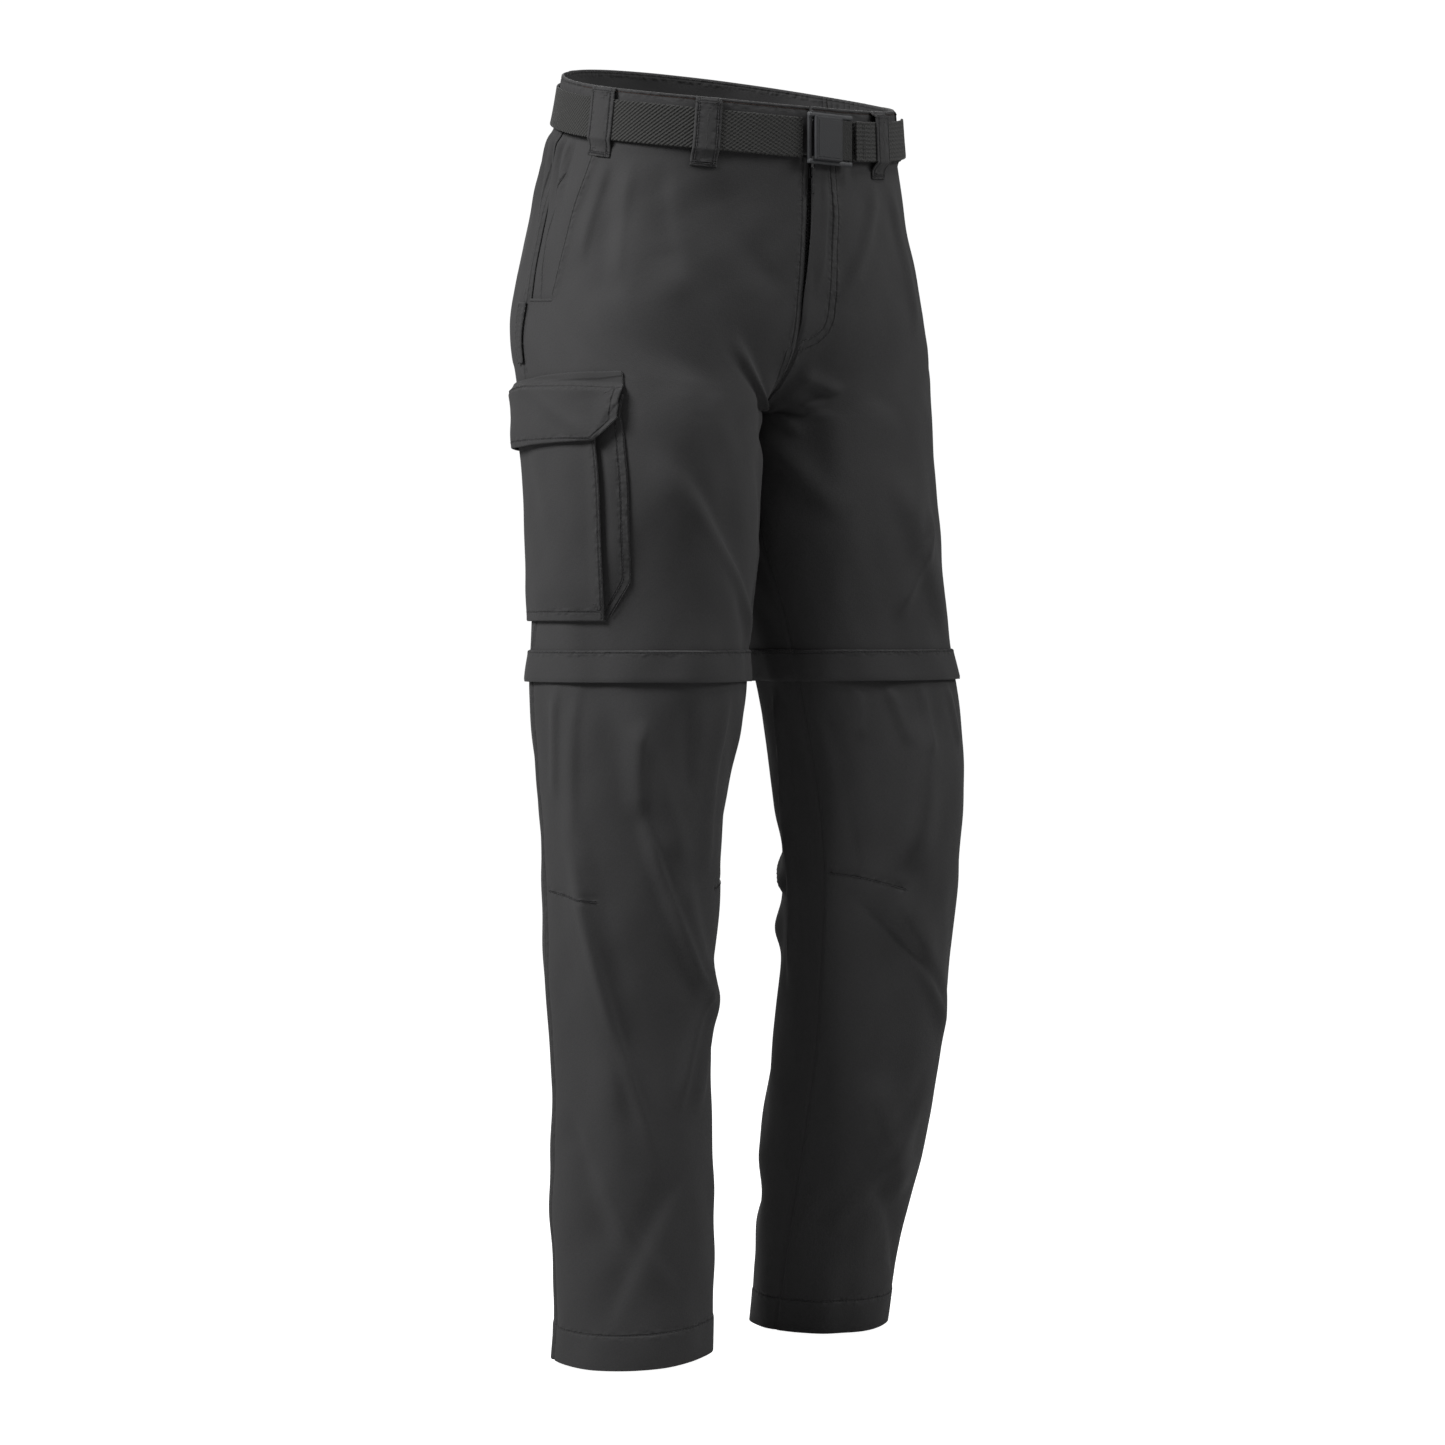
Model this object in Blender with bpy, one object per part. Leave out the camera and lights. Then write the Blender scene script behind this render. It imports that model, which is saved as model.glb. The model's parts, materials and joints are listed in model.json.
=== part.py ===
"""Zip-off trousers with a webbing belt, filled out as worn. Metres, +Z up.

The wearer faces -Y, so the wearer's left is +X. The origin is on the waist's axis, level with the belt's middle
at the side seams. A place on the cloth is (side, across, height): across runs from 0 at the centre front or the
inseam, through 0.5 at the side seam, to 1 at the centre back or the inseam again.
"""

import functools
import math

import bmesh
import bpy
import numpy as np
from mathutils import Matrix, Vector

RIGHT, LEFT = -1, 1

# Heights, measured at the side seams
WAISTBAND_TOP, WAISTBAND_BOTTOM = 0.0255, -0.0145
FORK_TOP, CROTCH = -0.155, -0.245
ZIP_COVER_TOP, ZIP_COVER_BOTTOM = -0.4415, -0.4675
KNEE_ZIP_TOP, KNEE_ZIP_BOTTOM = -0.4520, -0.4640
HEM = -1.0145
WAIST_SLOPE, BACK_RISE, SIDE_DIP = 0.21, 0.003, 0.004

# Thicknesses and clearances
CLOTH, BAND_CLOTH, WEBBING, TAPE = 0.0016, 0.0026, 0.0022, 0.0012
GAP = 0.0003
PROUD = 0.0010
BELT_WIDTH, BELT_MIDDLE, LOOP_WIDTH = 0.0335, -0.001, 0.022

# Hips: height, half width at the side, depth to the front, depth to the seat, squareness of the front and of the seat
HIPS = (
    (0.0255, 0.1520, 0.1015, 0.1130, 0.01, 0.02),
    (-0.0145, 0.1570, 0.1005, 0.1200, 0.01, 0.03),
    (-0.0750, 0.1690, 0.0990, 0.1360, 0.02, 0.06),
    (-0.1200, 0.1770, 0.0965, 0.1420, 0.05, 0.07),
    (-0.1550, 0.1830, 0.0930, 0.1440, 0.07, 0.08),
    (-0.2000, 0.1910, 0.0900, 0.1420, 0.09, 0.09),
    (-0.2450, 0.1950, 0.0900, 0.1380, 0.09, 0.07),
)
HALF_WIDTH, FRONT, BACK, FRONT_SQUARE, BACK_SQUARE = 1, 2, 3, 4, 5
SIDE_SEAM_TURN = 17

# Legs: height, middle across and front to back, half width, depth to the front and the back, toe-out in degrees
LEGS = {
    RIGHT: (
        (-0.2450, 0.0965, -0.001, 0.0960, 0.100, 0.106, 3),
        (-0.3000, 0.0960, -0.004, 0.0935, 0.093, 0.096, 6),
        (-0.3500, 0.0955, -0.002, 0.0920, 0.086, 0.088, 8),
        (-0.4100, 0.0965, -0.001, 0.0905, 0.079, 0.081, 10),
        (-0.4750, 0.0988, -0.001, 0.0915, 0.075, 0.075, 12),
        (-0.5500, 0.1030, 0.001, 0.0830, 0.069, 0.071, 12),
        (-0.6300, 0.1055, 0.000, 0.0755, 0.065, 0.066, 12),
        (-0.7500, 0.1060, 0.001, 0.0680, 0.058, 0.060, 12),
        (-0.8500, 0.1050, 0.000, 0.0675, 0.058, 0.060, 12),
        (-0.9500, 0.1035, -0.001, 0.0685, 0.058, 0.059, 13),
        (-1.0145, 0.1040, 0.000, 0.0685, 0.058, 0.059, 13),
    ),
    LEFT: (
        (-0.2450, 0.0965, 0.003, 0.0960, 0.097, 0.104, 3),
        (-0.3000, 0.0980, -0.007, 0.0925, 0.092, 0.096, 6),
        (-0.3500, 0.1000, -0.014, 0.0915, 0.088, 0.092, 9),
        (-0.4100, 0.1055, -0.020, 0.0885, 0.083, 0.087, 15),
        (-0.4750, 0.1140, -0.027, 0.0880, 0.080, 0.082, 17),
        (-0.5500, 0.1180, -0.033, 0.0790, 0.082, 0.082, 18),
        (-0.6300, 0.1200, -0.034, 0.0720, 0.077, 0.076, 19),
        (-0.7100, 0.1205, -0.026, 0.0690, 0.075, 0.074, 19),
        (-0.7600, 0.1210, -0.020, 0.0680, 0.074, 0.073, 19),
        (-0.8600, 0.1210, -0.002, 0.0675, 0.068, 0.067, 18),
        (-0.9500, 0.1200, 0.018, 0.0670, 0.060, 0.061, 17),
        (-1.0145, 0.1195, 0.031, 0.0655, 0.055, 0.056, 16),
    ),
}
MIDDLE_X, MIDDLE_Y, LEG_HALF, LEG_FRONT, LEG_BACK, TOE_OUT = 1, 2, 3, 4, 5, 6

# Folds: side, across and height where one starts and ends, its half width, its height (below 0 for a trough)
FOLDS = (
    (RIGHT, 0.02, -0.200, 0.10, -0.262, 0.010, 0.0040),
    (RIGHT, 0.06, -0.262, 0.03, -0.370, 0.011, 0.0045),
    (RIGHT, 0.20, -0.120, 0.09, -0.250, 0.020, 0.0035),
    (RIGHT, 0.30, -0.285, 0.13, -0.425, 0.016, 0.0040),
    (RIGHT, 0.33, -0.040, 0.27, -0.160, 0.016, -0.0030),
    (RIGHT, 0.31, -0.480, 0.22, -0.620, 0.014, 0.0040),
    (RIGHT, 0.22, -0.620, 0.13, -0.745, 0.013, 0.0045),
    (RIGHT, 0.40, -0.560, 0.34, -0.840, 0.013, 0.0050),
    (RIGHT, 0.09, -0.700, 0.15, -0.820, 0.012, 0.0040),
    (RIGHT, 0.44, -0.820, 0.36, -0.930, 0.013, -0.0035),
    (LEFT, 0.02, -0.205, 0.12, -0.235, 0.009, 0.0035),
    (LEFT, 0.03, -0.250, 0.14, -0.330, 0.012, 0.0035),
    (LEFT, 0.22, -0.300, 0.30, -0.430, 0.015, 0.0045),
    (LEFT, 0.20, -0.500, 0.16, -0.620, 0.014, 0.0045),
    (LEFT, 0.04, -0.480, 0.08, -0.630, 0.011, -0.0040),
    (LEFT, 0.13, -0.640, 0.28, -0.770, 0.014, 0.0045),
    (LEFT, 0.10, -0.800, 0.22, -0.900, 0.014, 0.0040),
    (LEFT, 0.40, -0.060, 0.30, -0.170, 0.016, -0.0030),
    (RIGHT, 0.66, -0.250, 0.82, -0.300, 0.014, 0.0040),
    (RIGHT, 0.64, -0.590, 0.80, -0.660, 0.013, -0.0045),
    (RIGHT, 0.70, -0.700, 0.84, -0.860, 0.014, 0.0040),
    (LEFT, 0.66, -0.255, 0.84, -0.290, 0.014, 0.0040),
    (LEFT, 0.62, -0.560, 0.86, -0.610, 0.013, -0.0060),
    (LEFT, 0.64, -0.630, 0.84, -0.690, 0.014, 0.0050),
    (LEFT, 0.72, -0.760, 0.86, -0.900, 0.014, 0.0040),
)

# Gathers below the elastic at each side, and below and above the knee zips
GATHER_PITCH, GATHER_HEIGHT = 0.016, 0.0028

# Fly: the left front's edge laps the zip, stands off it and parts from the right front
FLY_TOP, FLY_BOTTOM = -0.0150, -0.172
FLY_LIFT, FLY_LAP_WIDTH, FLY_PARTING = 0.0030, 0.034, 0.0066

# The cargo pocket, centred on the right side seam
POCKET_TOP, POCKET_BOTTOM = -0.232, -0.4180
POCKET_HALF, POCKET_FRONT_HALF, POCKET_BULK = 0.098, 0.078, 0.0012
FLAP_TOP, FLAP_BOTTOM, FLAP_HALF, FLAP_CUT = -0.2205, -0.2753, 0.0965, 0.0185
FLAP_TOP_RISE, FLAP_BOTTOM_RISE = 0.0115, 0.0037
FLAP_STAND_OFF = 0.0030
POCKET_CORNER_CUT, POCKET_EASE = 0.033, 0.030
FLAP_ROWS = (FLAP_TOP, -0.2312, -0.2365, -0.2480, -0.2610, FLAP_BOTTOM)
FLAP_RISE_ROOM = 0.0115

# Hand pockets: the slanted mouth's distance from the side seam at its two ends
MOUTH_TOP_OUT, MOUTH_LOW_OUT, MOUTH_LOW = 0.0605, 0.039, -0.153
POCKET_DEPTH = 0.0018

CHARCOAL = (0.050, 0.049, 0.051)
POCKET_CHARCOAL = (0.056, 0.055, 0.057)
OLIVE_BLACK = (0.034, 0.034, 0.032)
BUCKLE_GREY = (0.030, 0.032, 0.034)
ZIP_BLACK = (0.016, 0.016, 0.017)


def smooth(share):
    """Eased step from 0 to 1."""
    share = np.clip(share, 0.0, 1.0)
    return share * share * (3.0 - 2.0 * share)


@functools.lru_cache(maxsize=None)
def curve(rows, column):
    """One column of a table as rising heights, values and slopes."""
    table = np.array(rows, dtype=float)[::-1]
    return table[:, 0], table[:, column], np.gradient(table[:, column], table[:, 0])


def read(rows, column, height):
    """Smooth curve through one column of a table, read at a height."""
    known, values, slopes = curve(rows, column)
    height = np.clip(height, known[0], known[-1])
    k = np.clip(np.searchsorted(known, height, side="right") - 1, 0, len(known) - 2)
    step = known[k + 1] - known[k]
    q = (height - known[k]) / step
    low = values[k] * (1 + 2 * q) * (1 - q) ** 2 + slopes[k] * step * q * (1 - q) ** 2
    high = values[k + 1] * q * q * (3 - 2 * q) - slopes[k + 1] * step * q * q * (1 - q)
    return low + high


def hip_ring(side, across, height):
    """One half of the hips, from the centre front round the side to the centre back."""
    angle = np.pi * across + np.radians(SIDE_SEAM_TURN) * np.sin(np.pi * across) ** 2
    seat = np.cos(angle) < 0
    depth = np.where(seat, read(HIPS, BACK, height), read(HIPS, FRONT, height))
    square = np.where(seat, read(HIPS, BACK_SQUARE, height), read(HIPS, FRONT_SQUARE, height))
    swell = 1 + square * np.sin(2 * angle) ** 2
    x = side * read(HIPS, HALF_WIDTH, height) * np.sin(angle) * swell
    return x, -depth * np.cos(angle) * swell


def leg_ring(side, across, height):
    """A whole leg, from the inseam round the front, the side seam and the back."""
    rows = LEGS[side]
    toe_out = read(rows, TOE_OUT, height)
    angle = 2 * np.pi * across + np.radians(SIDE_SEAM_TURN - toe_out) * np.sin(np.pi * across) ** 2
    front, back = read(rows, LEG_FRONT, height), read(rows, LEG_BACK, height)
    wide = -side * read(rows, LEG_HALF, height) * np.cos(angle)
    deep = -np.where(np.sin(angle) > 0, front, back) * np.sin(angle)
    turn = side * np.radians(toe_out)
    x = side * read(rows, MIDDLE_X, height) + wide * np.cos(turn) - deep * np.sin(turn)
    return x, read(rows, MIDDLE_Y, height) + wide * np.sin(turn) + deep * np.cos(turn)


def body_form(side, across, height):
    """The trousers' shape without folds. The hips' halves turn under at the fork and close into the legs."""
    across, height = np.broadcast_arrays(np.asarray(across, float), np.asarray(height, float))
    down = np.clip((FORK_TOP - height) / (FORK_TOP - CROTCH), 0, 1)
    edge = np.abs(np.cos(np.pi * across))
    near_edge = edge**20
    turned = near_edge * (1 - np.cos(down * np.pi / 2)) + (1 - near_edge) * smooth(down)
    hip_x, hip_y = hip_ring(side, across, height)
    leg_x, leg_y = leg_ring(side, across, np.minimum(height, CROTCH))
    x, y = hip_x + turned * (leg_x - hip_x), hip_y + turned * (leg_y - hip_y)
    dip = edge**1.5 * (FORK_TOP - CROTCH) * (np.sin(down * np.pi / 2) - down)
    lean = WAIST_SLOPE * y + BACK_RISE * (np.maximum(y, 0) / HIPS[0][BACK]) ** 2
    lean = lean - SIDE_DIP * (np.abs(x) / HIPS[0][HALF_WIDTH]) ** 3
    return np.stack([x, y, height - dip + lean * smooth((height - CROTCH) / -CROTCH)], axis=-1)


def outward(shape, side, across, height):
    """Unit normals of a shape, pointing out of the cloth."""
    along = shape(side, across + 0.004, height) - shape(side, across - 0.004, height)
    up = shape(side, across, height + 0.002) - shape(side, across, height - 0.002)
    normal = side * np.cross(along, up)
    return normal / np.linalg.norm(normal, axis=-1, keepdims=True)


def girths(side):
    """Length across from 0 to 1 at a run of heights."""
    heights = np.linspace(HEM, WAISTBAND_TOP, 80)
    ring = body_form(side, np.linspace(0, 1, 73)[None, :], heights[:, None])
    return heights, np.linalg.norm(np.diff(ring, axis=1), axis=-1).sum(axis=1)


GIRTHS = {side: girths(side) for side in (RIGHT, LEFT)}


def girth(side, height):
    return np.interp(height, *GIRTHS[side])


def fold_relief(side, across, height):
    """Height of the named folds. Each fades at its ends, and one flank is steeper than the other."""
    relief = np.zeros(np.broadcast(across, height).shape)
    around = girth(side, height)
    for fold_side, across0, height0, across1, height1, half_width, rise in FOLDS:
        if fold_side != side:
            continue
        run = np.array([(across1 - across0) * 0.5, height1 - height0])
        length = np.linalg.norm(run)
        beside = (across - across0) * around, height - height0
        along = (beside[0] * run[0] + beside[1] * run[1]) / length**2
        off = (beside[0] * run[1] - beside[1] * run[0]) / length / half_width
        off = np.where(off > 0, off * 1.35, off * 0.8)
        fade = smooth(along / 0.3 + 0.3) * smooth((1 - along) / 0.3 + 0.3)
        relief = relief + rise * np.exp(-off * off) * fade
    return relief


def gather_relief(side, across, height):
    """Small pleats: under the waist's elastic at the sides, and on both sides of the knee zip."""
    out = (0.5 - across) * girth(side, height)
    at_side = smooth((0.042 - np.abs(out + 0.006)) / 0.016)
    below_elastic = smooth((-0.019 - height) / 0.012) * smooth((height + 0.105) / 0.07)
    pleats = np.cos(2 * np.pi * (out + 0.10 * (height + 0.02)) / GATHER_PITCH)
    relief = GATHER_HEIGHT * pleats * at_side * below_elastic
    near_zip = np.exp(-(((height - KNEE_ZIP_TOP + 0.004) / 0.030) ** 2))
    wave = np.cos(2 * np.pi * across * 9 + 1.7 * side) * np.cos(2 * np.pi * across * 2 + side)
    return relief + 0.0013 * wave * near_zip


def fly_relief(side, across, height):
    """The left front lifts off the zip along its edge."""
    if side == RIGHT:
        return 0.0
    off_edge = across * girth(side, height) / FLY_LAP_WIDTH
    return FLY_LIFT * (1 - smooth(off_edge)) * smooth((height - FLY_BOTTOM + 0.01) / 0.03)


def form(side, across, height):
    """The outer face of the main panels."""
    across, height = np.broadcast_arrays(np.asarray(across, float), np.asarray(height, float))
    relief = fold_relief(side, across, height) + gather_relief(side, across, height)
    relief = relief + fly_relief(side, across, height)
    return body_form(side, across, height) + relief[..., None] * outward(body_form, side, across, height)


# The panels' columns: metres from the side seam, then shares of what is left to the centre or the inseam
SEAM_COLUMNS = (0.0, 0.008, 0.016, 0.024, 0.032, 0.050, 0.078, 0.098)
FRONT_SHARES = (0.12, 0.25, 0.38, 0.51, 0.64, 0.77, 0.89, 0.945, 1.0)
BACK_SHARES = (0.15, 0.32, 0.49, 0.66, 0.83, 1.0)
WAIST_ROWS = (WAISTBAND_TOP, 0.0175, 0.0, WAISTBAND_BOTTOM - GAP)
HIP_ROWS = (-0.0255, -0.038, -0.053, -0.072, -0.095, -0.124, -0.153, -0.1575)
FORK_ROWS = (-0.176, -0.194, -0.212, -0.228, -0.245)
THIGH_ROWS = (-0.268, -0.296, -0.325, -0.355, -0.385, -0.4180, -0.4415, KNEE_ZIP_TOP + GAP / 2)
UPPER_ROWS = WAIST_ROWS + HIP_ROWS + FORK_ROWS + THIGH_ROWS
SHIN_ROWS = 17


def column_labels(front):
    """Below 1 a distance from the side seam, from 1 up a share of the rest."""
    return np.array(SEAM_COLUMNS + tuple(1 + share for share in (FRONT_SHARES if front else BACK_SHARES)))


def across_at(side, label, height, front=True):
    """Where a column label lies across the panel at a height."""
    reach = SEAM_COLUMNS[-1] / girth(side, height)
    share = np.clip(label - 1, 0, 1)
    out = np.where(label < 1, label / girth(side, height), reach + share * (0.5 - reach))
    return 0.5 - out if front else 0.5 + out


@functools.lru_cache(maxsize=None)
def facets(side, front):
    """The columns, rows, points and normals of one upper panel's facets."""
    columns, rows = column_labels(front), np.array(UPPER_ROWS)
    label, height = np.meshgrid(columns, rows)
    across = across_at(side, label, height, front)
    return columns, rows, form(side, across, height), outward(form, side, across, height)


def on_facet(side, label, height, front, lift):
    """A point on the panel's own facets, lifted off them along the cloth's normal."""
    columns, rows, points, normals = facets(side, front)
    j = min(max(int(np.searchsorted(columns, label, side="right")) - 1, 0), len(columns) - 2)
    k = min(max(int(np.searchsorted(-rows, -height, side="right")) - 1, 0), len(rows) - 2)
    u = (label - columns[j]) / (columns[j + 1] - columns[j])
    v = (height - rows[k]) / (rows[k + 1] - rows[k])
    lifted = points[k : k + 2, j : j + 2] + lift * normals[k : k + 2, j : j + 2]
    upper = (1 - u) * lifted[0, 0] + u * lifted[0, 1]
    lower = (1 - u) * lifted[1, 0] + u * lifted[1, 1]
    return (1 - v) * upper + v * lower


def material(name, colour, roughness, metallic=0.0):
    made = bpy.data.materials.new(name)
    made.use_nodes = True
    shader = made.node_tree.nodes["Principled BSDF"]
    shader.inputs["Base Color"].default_value = (*colour, 1.0)
    shader.inputs["Roughness"].default_value = roughness
    shader.inputs["Metallic"].default_value = metallic
    return made


def add_object(name, bm, colour, roughness=0.85):
    """Make a named object from a bmesh, its faces pointing out."""
    bmesh.ops.recalc_face_normals(bm, faces=bm.faces[:])
    if bm.calc_volume(signed=True) < 0:
        bmesh.ops.reverse_faces(bm, faces=bm.faces[:])
    mesh = bpy.data.meshes.new(name)
    bm.to_mesh(mesh)
    bm.free()
    made = bpy.data.objects.new(name, mesh)
    mesh.materials.append(material(name + "_finish", colour, roughness))
    bpy.context.scene.collection.objects.link(made)
    return made


def add_wall(name, outer, inner, colour, roughness=0.85, ring=False):
    """A cloth wall: a grid is extruded, and its two faces take the rows and columns of points given."""
    tall, wide = len(outer) - 1, len(outer[0]) - 1
    bm = bmesh.new()
    bmesh.ops.create_grid(bm, x_segments=wide, y_segments=tall, size=0.5)
    column = bm.verts.layers.int.new("column")
    row = bm.verts.layers.int.new("row")
    for vert in bm.verts:
        vert[column] = round((vert.co.x + 0.5) * wide)
        vert[row] = round((0.5 - vert.co.y) * tall)
    under = set(bm.verts)
    bmesh.ops.extrude_face_region(bm, geom=bm.faces[:], use_keep_orig=True)
    for vert in bm.verts:
        vert.co = (inner if vert in under else outer)[vert[row]][vert[column]]
    if ring:
        ends = [f for f in bm.faces if len({v[column] for v in f.verts}) == 1]
        bmesh.ops.delete(bm, geom=ends, context="FACES_ONLY")
        bmesh.ops.remove_doubles(bm, verts=bm.verts[:], dist=0.00002)
    return add_object(name, bm, colour, roughness)


def keep_to_side(points, side):
    """Hold points on their own side of the centre seams."""
    points[..., 0] = side * np.maximum(side * points[..., 0], GAP / 2)


def add_panel(name, side, front, labels, rows, upper=False):
    """One main panel, from the side seam to the centre or the inseam."""
    label, height = np.meshgrid(labels, rows)
    half_gap = GAP / 2 / girth(side, height)
    low, high = (half_gap, 0.5 - half_gap) if front else (0.5 + half_gap, 1 - half_gap)
    across = np.clip(across_at(side, label, height, front), low, high)
    if upper and front and side == LEFT:
        parting = FLY_PARTING * smooth((height - FLY_BOTTOM) / (FLY_TOP - FLY_BOTTOM))
        across = np.maximum(across, half_gap + parting / girth(side, height))
    outer = form(side, across, height)
    inner = outer - CLOTH * outward(form, side, across, height)
    if upper:
        if front:
            cut_mouth(side, labels, rows, outer, inner)
        keep_to_side(outer, side)
        keep_to_side(inner, side)
    return add_wall(name, outer, inner, CHARCOAL)


def mouth_out(height):
    """Distance from the side seam to the hand pocket's mouth."""
    share = np.clip((height - MOUTH_LOW) / (WAISTBAND_BOTTOM - MOUTH_LOW), 0, 1)
    return MOUTH_LOW_OUT + (MOUTH_TOP_OUT - MOUTH_LOW_OUT) * share


def cut_mouth(side, labels, rows, outer, inner):
    """Draw the front's columns back from the side seam, down to the mouth's lower end."""
    last = len(SEAM_COLUMNS) - 1
    for k, height in enumerate(rows):
        if height < MOUTH_LOW - 0.001:
            continue
        edge = mouth_out(height)
        for j in range(last):
            label = edge + (labels[last] - edge) * labels[j] / labels[last]
            outer[k, j] = on_facet(side, label, height, True, 0.0)
            inner[k, j] = on_facet(side, label, height, True, -CLOTH)


def add_patch(name, side, outs, heights, lift, thickness, colour, shift=None):
    """Cloth that lies on the thigh's panels, at distances out from the side seam (below 0 on the back).

    shift(out, height) moves a point down or up its panel; lift may be a number or a function of the same.
    """

    def face(extra):
        rows = []
        for height in heights:
            row = []
            for out in outs:
                raised = lift(out, height) if callable(lift) else lift
                at = shift(out, height) if shift else height
                row.append(on_facet(side, abs(out), at, out >= 0, raised + extra))
            rows.append(row)
        return rows

    return add_wall(name, face(thickness), face(0.0), colour)


def side_name(side):
    return "right" if side == RIGHT else "left"


def build_upper_legs(side):
    """Fronts and backs from the waistband down to the knee zip."""
    rows = np.array(UPPER_ROWS[len(WAIST_ROWS) - 1 :])
    for front, part in ((True, "front_"), (False, "back_")):
        add_panel(part + side_name(side), side, front, column_labels(front), rows, upper=True)


def build_shins(side):
    """The lower legs that zip off, each a front and a back."""
    rows = np.linspace(KNEE_ZIP_BOTTOM - GAP / 2, HEM, SHIN_ROWS + 1)
    labels = np.concatenate([np.linspace(0, SEAM_COLUMNS[-1], 5), 1 + np.linspace(0.2, 1, 5)])
    for front, part in ((True, "front_"), (False, "back_")):
        add_panel("shin_" + part + side_name(side), side, front, labels, rows)


def lifted(side, across, height, lift):
    """Points off the cloth's outer face along its normal."""
    across, height, lift = np.broadcast_arrays(across, height, lift)
    return form(side, across, height) + lift[..., None] * outward(form, side, across, height)


def build_knee_zip(side):
    """The zip's two tapes and closed chain, a narrow ring behind the covers."""
    height = np.array([[KNEE_ZIP_TOP - GAP / 2], [KNEE_ZIP_BOTTOM + GAP / 2]])
    front = across_at(side, column_labels(True)[None, ::-1], height, True)
    back = across_at(side, column_labels(False)[None, 1:], height, False)
    across = np.concatenate([front, back], axis=1)
    outer, inner = (lifted(side, across, height, -0.0002 - depth) for depth in (0.0, TAPE))
    add_wall("knee_zip_" + side_name(side), outer, inner, ZIP_BLACK, ring=True)


def build_zip_covers(side):
    """The bands over the knee zip, sewn along the top and standing off below."""
    height = np.array([[ZIP_COVER_TOP], [KNEE_ZIP_TOP], [KNEE_ZIP_BOTTOM], [ZIP_COVER_BOTTOM]])
    lift = np.array([[0.0004], [0.0012], [0.0024], [0.0030]])
    half_gap = GAP / 2 / girth(side, height)
    for front, part in ((True, "front_"), (False, "back_")):
        low, high = (half_gap, 0.5 - half_gap) if front else (0.5 + half_gap, 1 - half_gap)
        across = np.clip(across_at(side, column_labels(front)[None, :], height, front), low, high)
        outer, inner = (lifted(side, across, height, lift + extra) for extra in (CLOTH, 0.0))
        add_wall("zip_cover_" + part + side_name(side), outer, inner, CHARCOAL)


def build_pocket_facing(side):
    """What shows inside the hand pocket's slanted mouth."""
    outs = (GAP / 2,) + SEAM_COLUMNS[2::2] + SEAM_COLUMNS[-1:]
    lift = -CLOTH - POCKET_DEPTH - CLOTH
    heights = (WAISTBAND_BOTTOM - GAP,) + HIP_ROWS + (FORK_ROWS[0],)
    add_patch("pocket_facing_" + side_name(side), side, outs, heights, lift, CLOTH, CHARCOAL)


def build_zip_pocket():
    """The narrow strip below the right hand pocket, behind the side seam."""
    outs = (-0.0125, -0.008, -0.0008)
    heights = (HIP_ROWS[-1], FORK_ROWS[0], FORK_ROWS[1], -0.2065)
    add_patch("zip_pocket", RIGHT, outs, heights, 2 * GAP, CLOTH, CHARCOAL)


def build_cargo_pocket():
    """The right thigh's bellows pocket: a gusset that stands off it, a front on top, and the flap."""
    clear = 2 * GAP
    inner = SEAM_COLUMNS[2:3] + SEAM_COLUMNS[4:]
    outs = tuple(-out for out in reversed(inner)) + (0.0,) + inner
    pocket_rows = tuple(h for h in THIGH_ROWS if h > POCKET_BOTTOM + 0.001)
    heights = (POCKET_TOP, -0.245) + pocket_rows + (POCKET_BOTTOM,)

    def cut_corner(out, height):
        over = max(abs(out) - POCKET_FRONT_HALF, 0.0) / (POCKET_HALF - POCKET_FRONT_HALF)
        share = (POCKET_TOP - height) / (POCKET_TOP - POCKET_BOTTOM)
        return height + POCKET_CORNER_CUT * over * share

    def bulk(out, height):
        middle = smooth((POCKET_HALF - abs(out)) / POCKET_EASE)
        return clear + POCKET_BULK * float(middle * smooth((height - POCKET_BOTTOM) / POCKET_EASE))

    add_patch("cargo_gusset", RIGHT, outs, heights, bulk, CLOTH, POCKET_CHARCOAL, cut_corner)
    front_outs = tuple(out for out in outs if abs(out) <= POCKET_FRONT_HALF)
    lift_front = lambda out, height: bulk(out, height) + CLOTH + GAP
    add_patch("cargo_front", RIGHT, front_outs, heights, lift_front, CLOTH, POCKET_CHARCOAL)

    flap_outs = (-FLAP_HALF,) + tuple(out for out in outs if abs(out) < 0.09) + (FLAP_HALF,)

    def cut_flap(out, height):
        over = max(abs(out) - (FLAP_HALF - FLAP_CUT), 0.0) / FLAP_CUT
        share = (FLAP_TOP - height) / (FLAP_TOP - FLAP_BOTTOM)
        rise = (FLAP_TOP_RISE * (1 - share) + FLAP_BOTTOM_RISE * share) * max(out, 0.0) / FLAP_HALF
        return height + rise + FLAP_CUT * over * share

    def flap_lift(out, height):
        on_pocket = bulk(out, height) + 2 * (CLOTH + GAP) + 0.0006
        over_pocket = float(smooth((POCKET_TOP + FLAP_RISE_ROOM - cut_flap(out, height)) / (FLAP_RISE_ROOM - 0.002)))
        return clear + (on_pocket - clear) * over_pocket + FLAP_STAND_OFF * float(smooth((-0.233 - height) / 0.036))

    add_patch("cargo_flap", RIGHT, flap_outs, FLAP_ROWS, flap_lift, CLOTH, POCKET_CHARCOAL, cut_flap)


def round_waist(turns, heights, lifts):
    """Points round the waist: a turn runs from 0 at the centre front, over the right side, to 2."""
    turn, height, lift = np.broadcast_arrays(turns, heights, lifts)
    right = lifted(RIGHT, turn, height, lift)
    left = lifted(LEFT, 2 - turn, height, lift)
    return np.where((turn <= 1)[..., None], right, left)


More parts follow.
